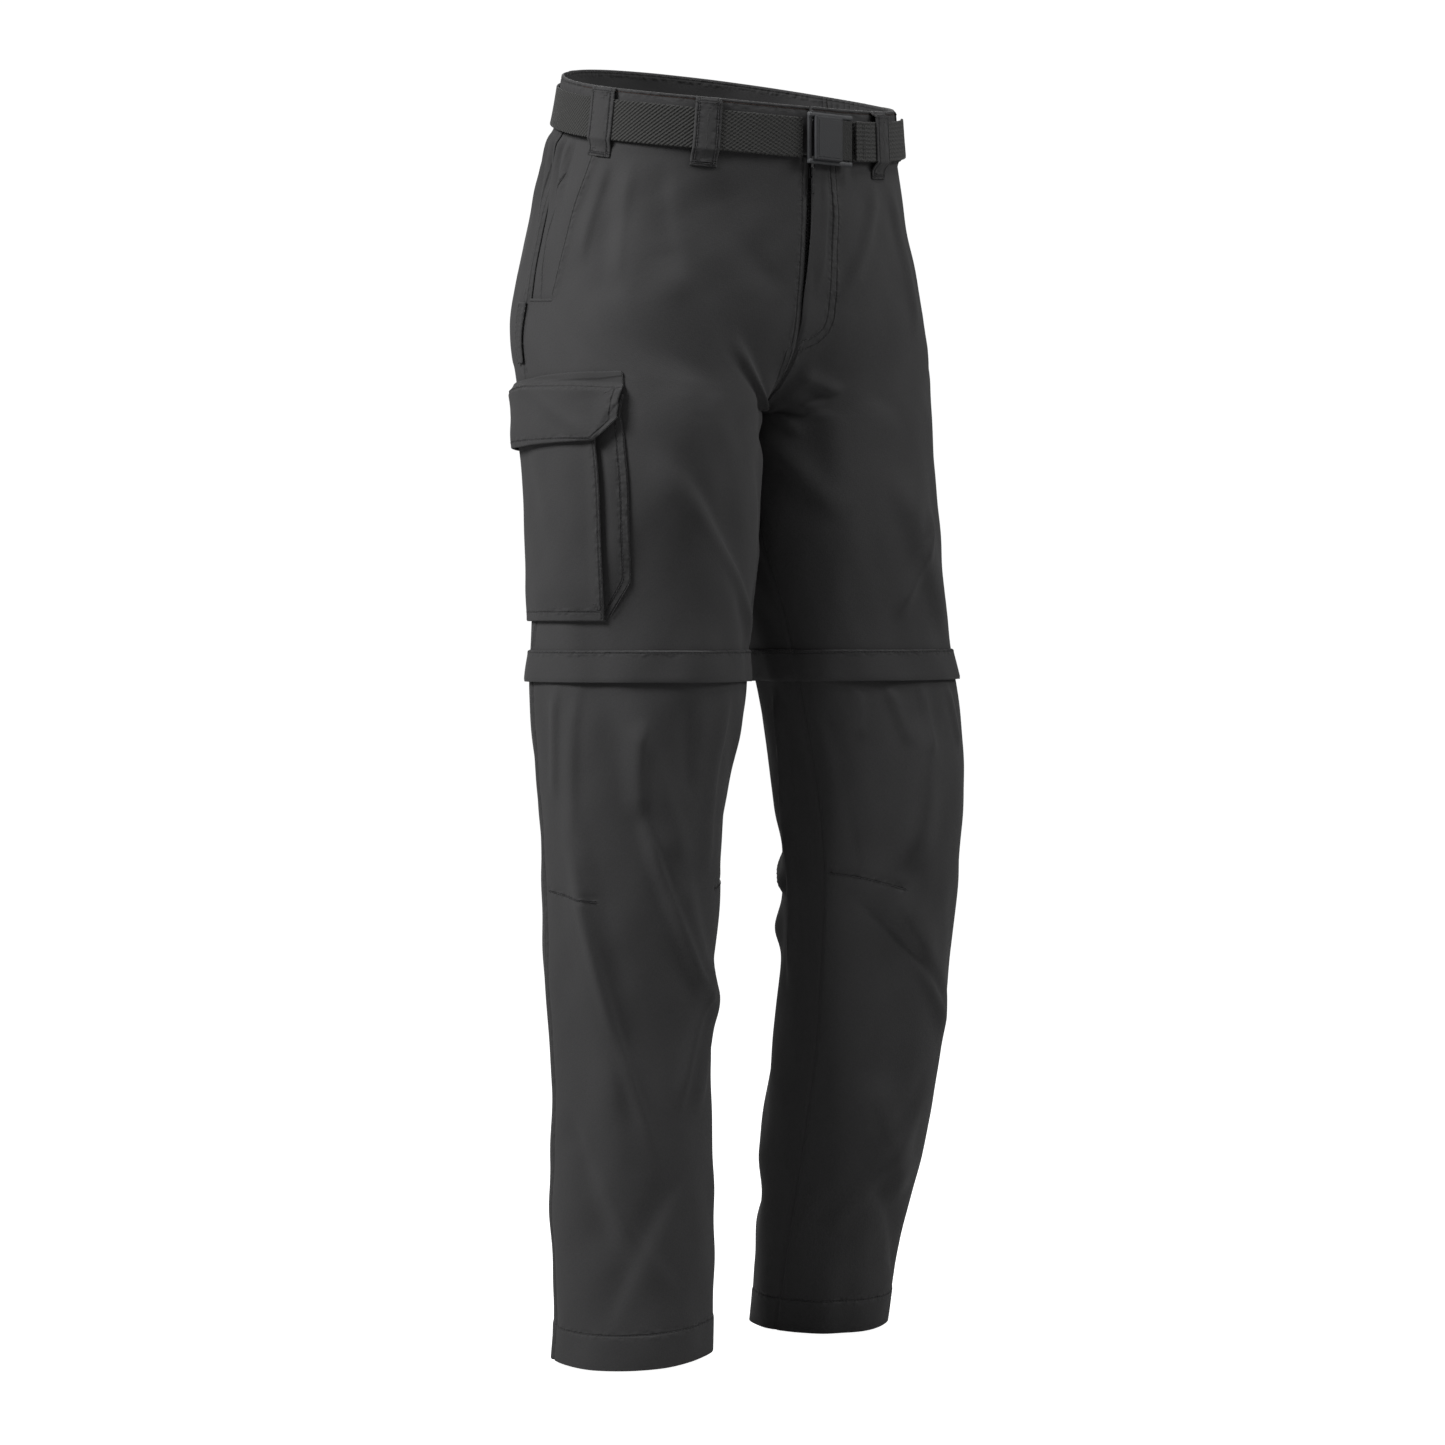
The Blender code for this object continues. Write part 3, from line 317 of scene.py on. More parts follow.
def outward(shape, side, across, height):
    """Unit normals of a shape, pointing out of the cloth."""
    along = shape(side, across + 0.004, height) - shape(side, across - 0.004, height)
    up = shape(side, across, height + 0.002) - shape(side, across, height - 0.002)
    normal = side * np.cross(along, up)
    return normal / np.linalg.norm(normal, axis=-1, keepdims=True)


def girths(side):
    """Length across from 0 to 1 at a run of heights."""
    heights = np.linspace(HEM, WAISTBAND_TOP, 80)
    ring = body_form(side, np.linspace(0, 1, 73)[None, :], heights[:, None])
    return heights, np.linalg.norm(np.diff(ring, axis=1), axis=-1).sum(axis=1)


GIRTHS = {side: girths(side) for side in (RIGHT, LEFT)}


def girth(side, height):
    return np.interp(height, *GIRTHS[side])


def ridge(side, across, height, row):
    """Height of one fold or crease. It fades at its ends, and one flank is steeper than the other."""
    across0, height0, across1, height1, half_width, rise, bow = row[1:]
    run = np.array([(across1 - across0) * 0.5, height1 - height0])
    length = np.linalg.norm(run)
    beside = (across - across0) * girth(side, height), height - height0
    along = (beside[0] * run[0] + beside[1] * run[1]) / length**2
    off = (beside[0] * run[1] - beside[1] * run[0]) / length
    off = (off + bow * np.sin(np.pi * np.clip(along, 0, 1))) / half_width
    off = np.where(off > 0, off * 1.35, off * 0.8)
    fade = smooth(along / 0.3 + 0.3) * smooth((1 - along) / 0.3 + 0.3)
    return rise * np.exp(-off * off) * fade


def gather_relief(side, across, height):
    """Small pleats: under the waist's elastic at the sides, and on both sides of the knee zip."""
    out = (0.5 - across) * girth(side, height)
    at_side = smooth((0.042 - np.abs(out + 0.006)) / 0.016)
    below_elastic = smooth((-0.019 - height) / 0.012) * smooth((height + 0.105) / 0.07)
    pleats = np.cos(2 * np.pi * (out + 0.10 * (height + 0.02)) / GATHER_PITCH)
    relief = GATHER_HEIGHT * pleats * at_side * below_elastic
    near_zip = np.exp(-(((height - KNEE_ZIP_TOP + 0.004) / 0.030) ** 2))
    wave = np.cos(2 * np.pi * across * 9 + 1.7 * side) * np.cos(2 * np.pi * across * 2 + side)
    return relief + 0.0013 * wave * near_zip


def fly_relief(side, across, height):
    """The left front lifts off the zip along its edge."""
    if side == RIGHT:
        return 0.0
    off_edge = across * girth(side, height) / FLY_LAP_WIDTH
    return FLY_LIFT * (1 - smooth(off_edge)) * smooth((height - FLY_BOTTOM + 0.01) / 0.03)


def soft_waves(seed, shortest, longest, count=14):
    """Uneven cloth: a few plane waves in random directions, as columns of frequency and phase."""
    draw = np.random.default_rng(seed)
    length = draw.uniform(shortest, longest, count)
    heading = draw.uniform(0, np.pi, count)
    phase = draw.uniform(0, 6.28, count)
    return 2 * np.pi * np.cos(heading) / length, 2 * np.pi * np.sin(heading) / length, phase


def unevenness(side, across, height):
    """Slack in the cloth: broad soft swells, and smaller ones all over."""
    out, relief = (across - 0.5) * girth(side, height), 0.0
    for seed, shortest, longest, rise in ((3, 0.07, 0.16, 0.0011), (5, 0.025, 0.055, 0.00035)):
        u, v, phase = soft_waves(seed + (side > 0), shortest, longest)
        waves = np.cos(out[..., None] * u + height[..., None] * v * 0.6 + phase).sum(axis=-1)
        relief = relief + rise * (waves / math.sqrt(len(u) / 2))
    return relief * smooth((-0.02 - height) / 0.05)


def cloth_form(side, across, height):
    """The outer face of the main panels, with every fold and crease."""
    across, height = np.broadcast_arrays(np.asarray(across, float), np.asarray(height, float))
    relief = unevenness(side, across, height)
    for row in FOLDS:
        if row[0] == side:
            relief = relief + FOLD_DEPTH * ridge(side, across, height, row + (0.0,))
    for row in CREASES:
        if row[0] == side:
            relief = relief + CREASE_DEPTH * ridge(side, across, height, row)
    relief = relief * smooth(np.minimum(across, 1 - across) * girth(side, height) / SEAM_CALM)
    relief = relief + gather_relief(side, across, height) + fly_relief(side, across, height)
    toward, drop = HEM_DROPS[side]
    near_hem = smooth((HEM + HEM_REACH - height) / HEM_REACH)
    points = body_form(side, across, height) + relief[..., None] * outward(body_form, side, across, height)
    points[..., 2] -= drop * near_hem * (0.5 + 0.5 * np.cos(2 * np.pi * (across - toward))) ** 1.5
    return points


def off_cloth(side, across, height, lift):
    """Points off the cloth's outer face along its normal."""
    across, height, lift = np.broadcast_arrays(across, height, lift)
    return cloth_form(side, across, height) + lift[..., None] * outward(body_form, side, across, height)


def across_of(side, out, height):
    """Share across for a distance from the side seam: above 0 on the front, below 0 on the back."""
    return 0.5 - out / girth(side, height)


def side_name(side):
    return "right" if side == RIGHT else "left"


def graded(start, end, coarse, fine=0.0006, zone=0.006):
    """Steps from start to end that are fine near both ends and even between them."""
    length = abs(end - start)
    close = fine * np.array([0, 1, 2.3, 4, 6.2, 9])
    close = close[close < min(zone, length / 3)]
    middle = np.linspace(close[-1], length - close[-1], max(2, int((length - 2 * close[-1]) / coarse) + 1))
    steps = np.concatenate([close[:-1], middle, length - close[:-1][::-1]])
    return start + steps * np.sign(end - start)


# How far from a seam its stitch line and the cloth's pucker reach
SEAM_REACH, SEAM_FADE = 0.009, 0.0035
DOUBLE_ROW = 0.0055
finishes = {}


def seam_field(places, lines):
    """Signed distance from each place to the nearest line, and 1 near it fading to 0 away from it."""
    nearest = np.full(places.shape[:-1], 1.0)
    signed = np.full(places.shape[:-1], SEAM_REACH)
    beyond = np.zeros(places.shape[:-1])
    for line in lines:
        line = np.asarray(line, float)
        for k, (start, end) in enumerate(zip(line[:-1], line[1:])):
            run = end - start
            beside = places - start
            share = (beside @ run) / max(run @ run, 1e-12)
            along = np.clip(share, 0, 1)
            distance = np.linalg.norm(beside - along[..., None] * run, axis=-1)
            sign = np.where(run[0] * beside[..., 1] - run[1] * beside[..., 0] < 0, -1.0, 1.0)
            past = np.linalg.norm(run) * (np.maximum(-share, 0) * (k == 0) + np.maximum(share - 1, 0))
            closer = distance < nearest
            nearest = np.where(closer, distance, nearest)
            signed = np.where(closer, sign * np.minimum(distance, SEAM_REACH), signed)
            beyond = np.where(closer, past * ((k == 0) | (k == len(line) - 2)), beyond)
    near = 1 - smooth((nearest - SEAM_FADE) / (SEAM_REACH - SEAM_FADE - 0.001))
    return signed, near * (1 - smooth(beyond / 0.002))


def grid_mesh(name, points, places, fields, outside, left_out=None):
    """A grid whose rows and columns take the points given, with a UV map of the cloth's own measures."""
    tall, wide = points.shape[0] - 1, points.shape[1] - 1
    bm = bmesh.new()
    bm.loops.layers.uv.new("cloth")
    bmesh.ops.create_grid(bm, x_segments=wide, y_segments=tall, size=0.5)
    mesh = bpy.data.meshes.new(name)
    bm.to_mesh(mesh)
    bm.free()
    co = np.empty(len(mesh.vertices) * 3)
    mesh.vertices.foreach_get("co", co)
    co = co.reshape(-1, 3)
    column = np.rint((co[:, 0] + 0.5) * wide).astype(int)
    row = np.rint((0.5 - co[:, 1]) * tall).astype(int)
    mesh.vertices.foreach_set("co", points[row, column].ravel())
    corner = np.empty(len(mesh.loops), dtype=np.int32)
    mesh.loops.foreach_get("vertex_index", corner)
    mesh.uv_layers["cloth"].data.foreach_set("uv", places[row, column][corner].ravel())
    for field, values in fields.items():
        layer = mesh.attributes.new(field, "FLOAT", "POINT")
        layer.data.foreach_set("value", values[row, column])
    mesh.update()
    middle = mesh.polygons[len(mesh.polygons) // 2]
    if np.dot(middle.normal, outside[row[middle.vertices[0]], column[middle.vertices[0]]]) < 0:
        mesh.flip_normals()
    mesh.polygons.foreach_set("use_smooth", np.ones(len(mesh.polygons), dtype=bool))
    if left_out is not None:
        gone = left_out[row, column]
        bm = bmesh.new()
        bm.from_mesh(mesh)
        faces = [face for face in bm.faces if any(gone[vert.index] for vert in face.verts)]
        bmesh.ops.delete(bm, geom=faces, context="FACES")
        bm.to_mesh(mesh)
        bm.free()
    return mesh


def add_piece(name, mesh, finish, body="trousers", replaces=()):
    made = bpy.data.objects.new(name, mesh)
    bpy.context.scene.collection.objects.link(made)
    mesh.materials.append(finishes[finish])
    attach(made, body)
    if replaces:
        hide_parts(*replaces)
    return made


def lay_cloth(node, points, outside, places, thickness, finish="cloth", single=(), double=(),
              left_out=None):
    """A cloth piece that takes a node's place: its face, its thickness inwards, and its stitch lines."""
    fields = {}
    for kind, lines in (("single", single), ("double", double)):
        fields[kind + "_line"], fields[kind + "_near"] = seam_field(places, lines)
    mesh = grid_mesh(node + "_cloth", points, places, fields, outside, left_out)
    made = add_piece(node + "_cloth", mesh, finish, replaces=(node,))
    solidify = made.modifiers.new("thickness", "SOLIDIFY")
    solidify.thickness, solidify.offset = thickness, -1.0
    return made


THREAD_RADIUS, STITCH_PITCH = 0.00027, 0.0028
thread_runs = {}


def along_line(line, step):
    """Points spaced evenly along a line of three-dimensional points."""
    reach = np.concatenate([[0], np.cumsum(np.linalg.norm(np.diff(line, axis=0), axis=1))])
    count = max(2, int(reach[-1] / step))
    at = np.linspace(0, reach[-1], count + 1)
    return np.stack([np.interp(at, reach, line[:, k]) for k in range(3)], axis=1)


def sew(run, line, normals_of, pitch=STITCH_PITCH):
    """Remember one line of stitches, which is made with the rest of its run."""
    thread_runs.setdefault(run, []).append((np.asarray(line, float), normals_of, pitch))


def thread_tube(bm, line, outside, pitch):
    """One sewn line: a thin tube that dips under the cloth between its stitches."""
    stitches = along_line(line, pitch)
    if len(stitches) < 3:
        return
    reach = np.linspace(0, 1, len(stitches))
    shares = (0.0, 0.16, 0.84)
    rises = (-2.0, 0.35, 0.35)
    last = len(stitches) - 1
    at = np.concatenate([[k + share for share in shares] for k in range(last)] + [[float(last)]])
    centre = np.stack([np.interp(at, np.arange(len(stitches)), stitches[:, k]) for k in range(3)], axis=1)
    share = np.linspace(0, 1, len(outside))
    up = np.stack([np.interp(np.interp(at, np.arange(len(stitches)), reach), share, outside[:, k])
                   for k in range(3)], axis=1)
    up /= np.linalg.norm(up, axis=1, keepdims=True)
    ahead = np.gradient(centre, axis=0)
    beside = np.cross(ahead, up)
    beside /= np.linalg.norm(beside, axis=1, keepdims=True) + 1e-12
    rise = THREAD_RADIUS * np.array(list(rises) * (len(stitches) - 1) + [rises[0]])
    centre = centre + rise[:, None] * up
    turns = np.linspace(0, 2 * np.pi, 5)
    made = bmesh.ops.create_grid(bm, x_segments=len(centre) - 1, y_segments=4, size=0.5)["verts"]
    for vert in made:
        k = round((vert.co.x + 0.5) * (len(centre) - 1))
        turn = turns[round((vert.co.y + 0.5) * 4)]
        radius = 0.0 if k in (0, len(centre) - 1) else THREAD_RADIUS
        vert.co = centre[k] + radius * (math.cos(turn) * up[k] + math.sin(turn) * beside[k])


def make_threads():
    """Every remembered line becomes thread, one piece for each run of sewing."""
    for run, lines in thread_runs.items():
        bm = bmesh.new()
        for line, outside, pitch in lines:
            thread_tube(bm, line, outside, pitch)
        bmesh.ops.remove_doubles(bm, verts=bm.verts[:], dist=0.000002)
        bmesh.ops.recalc_face_normals(bm, faces=bm.faces[:])
        mesh = bpy.data.meshes.new(run)
        bm.to_mesh(mesh)
        bm.free()
        add_piece(run, mesh, "thread" if "waistband_edge" not in run else "brown_thread")


def sew_on_panel(run, side, line, lift=0.0, double=False, relief=None):
    """Stitches along a line of (distance from the side seam, height) on a main panel."""
    line = np.asarray(line, float)
    rows = []
    for start, end in zip(line[:-1], line[1:]):
        count = max(2, int(np.linalg.norm(end - start) / 0.003))
        rows.append(start + (end - start) * np.linspace(0, 1, count, endpoint=False)[:, None])
    line = np.concatenate(rows + [line[-1:]])
    offsets = (-DOUBLE_ROW / 2, DOUBLE_ROW / 2) if double else (0.0,)
    ahead = np.gradient(line, axis=0)
    ahead /= np.linalg.norm(ahead, axis=1, keepdims=True) + 1e-12
    for offset in offsets:
        moved = line + offset * np.stack([-ahead[:, 1], ahead[:, 0]], axis=1)
        across = across_of(side, moved[:, 0], moved[:, 1])
        raised = lift if relief is None else relief(moved[:, 0], moved[:, 1])
        points = off_cloth(side, across, moved[:, 1], np.asarray(raised) + 0.0)
        sew(run, points, outward(body_form, side, across, moved[:, 1]))


# The main panels

PANEL_STEP, SEAM_LAP = 0.0030, 0.0004
HEM_TURN_UP = 0.027
KNEE_DARTS = {
    # across and height of each dart's wide end on a seam, and of its point
    RIGHT: ((0.488, -0.636, 0.360, -0.643), (0.012, -0.628, 0.120, -0.636)),
    LEFT: ((0.488, -0.632, 0.380, -0.643), (0.012, -0.626, 0.150, -0.639)),
}


def mouth_out(height):
    """Distance from the side seam to the hand pocket's mouth."""
    share = np.clip((height - MOUTH_LOW) / (WAISTBAND_BOTTOM - MOUTH_LOW), 0, 1)
    return MOUTH_LOW_OUT + (MOUTH_TOP_OUT - MOUTH_LOW_OUT) * share


def fly_line(side):
    """The fly's curved stitching on the left front, as distance from the side seam and height."""
    heights = np.array([WAISTBAND_BOTTOM, -0.035, -0.098, -0.150, -0.160, -0.167, -0.172, -0.175, -0.1765])
    inward = np.array([0.0220, 0.0225, 0.0235, 0.0255, 0.0258, 0.0235, 0.0180, 0.0110, 0.0040])
    return np.stack([girth(side, heights) / 2 - inward, heights], axis=1)


def upper_seams(side, front):
    """Stitch lines on an upper panel: lists of single and double ones."""
    centre = lambda heights, inset: np.stack([girth(side, np.array(heights)) / 2 - inset, heights], axis=1)
    single, double = [], []
    top, low = WAISTBAND_BOTTOM - 0.002, KNEE_ZIP_TOP
    if front:
        heights = np.linspace(top, MOUTH_LOW + 0.001, 12)
        single.append(np.stack([mouth_out(heights) + 0.0022, heights], axis=1))
        single.append(np.array([[0.001, MOUTH_LOW - 0.003], [MOUTH_LOW_OUT + 0.001, MOUTH_LOW - 0.003]]))
        if side == LEFT:
            double.append(fly_line(side))
            single.append(centre(np.linspace(-0.178, -0.240, 6), 0.003))
        else:
            single.append(centre(np.linspace(top, -0.176, 10), 0.005))
            double.append(centre(np.linspace(-0.180, -0.240, 6), 0.006))
    else:
        double.append(centre(np.linspace(top, -0.240, 14), 0.0055) * np.array([-1, 1]))
        double.append(np.array([[-0.005, top], [-0.005, low]]))
    return single, double


def dart_lines(side, front):
    if not front:
        return []
    lines = []
    for across0, height0, across1, height1 in KNEE_DARTS[side]:
        share = np.linspace(0, 1, 8)
        across = across0 + (across1 - across0) * share
        height = height0 + (height1 - height0) * share**1.5
        lines.append(np.stack([(0.5 - across) * girth(side, height), height], axis=1))
    return lines


def panel_grid(side, front, rows):
    """Columns and rows of a main panel, as places on the cloth and in its own measures."""
    rows = np.asarray(rows)
    upper = rows[0] > FORK_TOP
    half = girth(side, rows) / 2 + SEAM_LAP
    if front and side == LEFT and upper:
        half = half - FLY_PARTING * smooth((rows - FLY_BOTTOM) / (FLY_TOP - FLY_BOTTOM))
    if front and upper:
        edge = np.where(rows > MOUTH_LOW - 0.0001, mouth_out(rows), MOUTH_LOW_OUT)
        beside = graded(0.0, 1.0, PANEL_STEP / MOUTH_LOW_OUT, 0.015, 0.15)[:-1]
        share = graded(0.0, 1.0, PANEL_STEP / 0.24, 0.0025, 0.025)
        out = np.concatenate([-SEAM_LAP + (edge + SEAM_LAP)[:, None] * beside[None, :],
                              edge[:, None] + (half - edge)[:, None] * share[None, :]], axis=1)
    else:
        share = graded(0.0, 0.28, PANEL_STEP) / 0.28
        out = -SEAM_LAP + (half + SEAM_LAP)[:, None] * share[None, :]
    height = np.repeat(rows[:, None], out.shape[1], axis=1)
    return (out if front else -out), height


def build_panel(node, side, front, rows, single, double, upper):
    out, height = panel_grid(side, front, rows)
    across = across_of(side, out, height)
    points = cloth_form(side, across, height)
    normals = outward(body_form, side, across, height)
    lift = panel_relief(side, front, out, height, upper)
    points = points + lift[..., None] * normals
    if upper:
        points[..., 0] = side * np.maximum(side * points[..., 0], 0.0)
    places = np.stack([out, height], axis=-1)
    mouth = (out < mouth_out(height) - 0.00001) & (height > MOUTH_LOW - 0.0001) if upper and front else None
    lay_cloth(node, points, normals, places, CLOTH, single=single, double=double, left_out=mouth)
    run = "stitches_" + node
    for line in single:
        sew_on_panel(run, side, line)
    for line in double:
        sew_on_panel(run, side, line, double=True)


def panel_relief(side, front, out, height, upper):
    """The seams' own thickness: folded edges stand up a little and the seam between them is a valley."""
    around = girth(side, height) / 2
    to_side = np.abs(out)
    to_inseam = around - np.abs(out)
    relief = -0.0011 * np.exp(-((to_side / 0.0016) ** 2)) - 0.0011 * np.exp(-((to_inseam / 0.0016) ** 2))
    if not front:
        relief += 0.0007 * smooth(to_side / 0.002) * smooth((0.0105 - to_side) / 0.002)
    if upper and front:
        at_mouth = out - mouth_out(height)
        relief += 0.0012 * smooth((0.010 - at_mouth) / 0.008) * (height > MOUTH_LOW)
    if not upper:
        above_hem = height - HEM
        relief += 0.0007 * smooth((HEM_TURN_UP - above_hem) / 0.0015)
        for line in dart_lines(side, front):
            signed, near = seam_field(np.stack([out, height], axis=-1), [line])
            relief -= 0.0012 * np.exp(-((signed / 0.0022) ** 2)) * near
    return relief


def build_upper_legs(side):
    for front, part in ((True, "front_"), (False, "back_")):
        top = WAISTBAND_BOTTOM - GAP
        above = np.linspace(top, MOUTH_LOW, 48)
        below = np.linspace(MOUTH_LOW - 0.0006, KNEE_ZIP_TOP + GAP / 2, 102)
        single, double = upper_seams(side, front)
        build_panel(part + side_name(side), side, front, np.concatenate([above, below]), single, double, True)


def build_shins(side):
    """The lower legs, each a front and a back, with the hems turned up and stitched."""
    top = KNEE_ZIP_BOTTOM - GAP / 2
    turn_up = HEM + HEM_TURN_UP
    rows = np.concatenate([
        np.linspace(top, turn_up + 0.003, 165),
        turn_up + np.array([0.0018, 0.0008, 0.0, -0.0008, -0.0018]),
        np.linspace(turn_up - 0.004, HEM + 0.002, 9),
        HEM + np.array([0.0008, 0.0]),
    ])
    for front, part in ((True, "shin_front_"), (False, "shin_back_")):
        sign = 1 if front else -1
        widest = girth(side, turn_up) / 2
        hem_line = np.array([[sign * 0.002, turn_up], [sign * (widest - 0.002), turn_up]])
        darts = dart_lines(side, front)
        below = [line - np.array([0.0, 0.0022]) for line in darts]
        double = [np.array([[-0.0055, top - 0.002], [-0.0055, HEM + 0.003]])] if not front else []
        build_panel(part + side_name(side), side, front, rows, [hem_line] + below, double, False)


def build_zip_covers(side):
    """The bands over the knee zip: stitched along the top, folded over and standing off below."""
    share = np.array([0, 0.015, 0.04, 0.08, 0.13, 0.2, 0.3, 0.42, 0.55, 0.68, 0.8, 0.9, 0.95, 0.98, 1.0])
    heights = ZIP_COVER_TOP + (ZIP_COVER_BOTTOM - ZIP_COVER_TOP) * share
    lifts = np.interp(share, [0, 0.03, 0.2, 0.45, 0.9, 1.0], [0.0006, 0.0021, 0.0023, 0.0029, 0.0038, 0.0034])
    for front, part in ((True, "front_"), (False, "back_")):
        out, height = panel_grid(side, front, heights)
        across = across_of(side, out, height)
        wave = 0.0007 * np.cos(2 * np.pi * across * 6 + side) * smooth((ZIP_COVER_TOP - height) / 0.02)
        lift = lifts[:, None] + wave
        points = off_cloth(side, across, height, lift)
        normals = outward(body_form, side, across, height)
        places = np.stack([out, height], axis=-1)
        sign = 1 if front else -1
        half = girth(side, ZIP_COVER_TOP) / 2
        stitch_row = ZIP_COVER_TOP - 0.0022
        stitched = np.array([[sign * 0.001, stitch_row], [sign * (half - 0.001), stitch_row]])
        node = "zip_cover_" + part + side_name(side)
        lay_cloth(node, points, normals, places, CLOTH, single=[stitched])
        sew_on_panel("stitches_zip_covers_" + side_name(side), side, stitched, lift=0.0021)


def patch(node, side, outs, heights, lift, thickness, finish, single=(), double=(), run=None,
          shift=None):
    """Cloth that lies on the thigh's panels; lift and shift work on (distance out, height)."""
    out, height = np.meshgrid(outs, heights)
    raised = np.asarray(lift(out, height)) + 0.0 * out
    at = shift(out, height) if shift else height
    across = across_of(side, out, at)
    points = off_cloth(side, across, at, raised + thickness)
    normals = outward(body_form, side, across, at)
    places = np.stack([out, at], axis=-1)
    lay_cloth(node, points, normals, places, thickness, finish, single, double)
    relief = lambda u, v: np.asarray(lift(u, v)) + thickness
    for line in single:
        sew_on_panel(run or "stitches_" + node, side, line, relief=relief)
    for line in double:
        sew_on_panel(run or "stitches_" + node, side, line, double=True, relief=relief)


def build_pocket_facing(side):
    """What shows inside the hand pocket's slanted mouth, sewn down along a curved line."""
    outs = graded(-SEAM_LAP, 0.098, 0.003)
    heights = np.linspace(WAISTBAND_BOTTOM - GAP, -0.176, 60)
    lift = lambda out, height: -CLOTH - POCKET_DEPTH - CLOTH + 0.0006 * smooth((0.016 - out) / 0.004)
    line = np.array([[0.024, -0.050], [0.015, -0.080], [0.011, -0.105], [0.012, -0.130], [0.016, -0.156]])
    patch("pocket_facing_" + side_name(side), side, outs, heights, lift, CLOTH, "cloth", single=[line])


def build_zip_pocket():
    """The narrow crinkled strip behind the right side seam."""
    outs = graded(-0.0125, -0.0008, 0.0008)
    heights = graded(-0.1575, -0.2065, 0.0012)

    def lift(out, height):
        from_edges = smooth(np.abs(out + 0.0066) / -0.004 + 1.4)
        return 2 * GAP + 0.0006 + 0.0005 * np.cos(2 * np.pi * height / 0.0042 + 160 * out) * from_edges

    lines = [np.array([[out, -0.159], [out, -0.205]]) for out in (-0.0018, -0.0112)]
    patch("zip_pocket", RIGHT, outs, heights, lift, CLOTH, "cloth", single=lines)


def rounded_edge(distance, radius=0.0011):
    """How far a folded edge drops at a distance in from it."""
    share = np.clip(1 - distance / radius, 0, 1)
    return -radius * 0.9 * (1 - np.sqrt(1 - share**2))


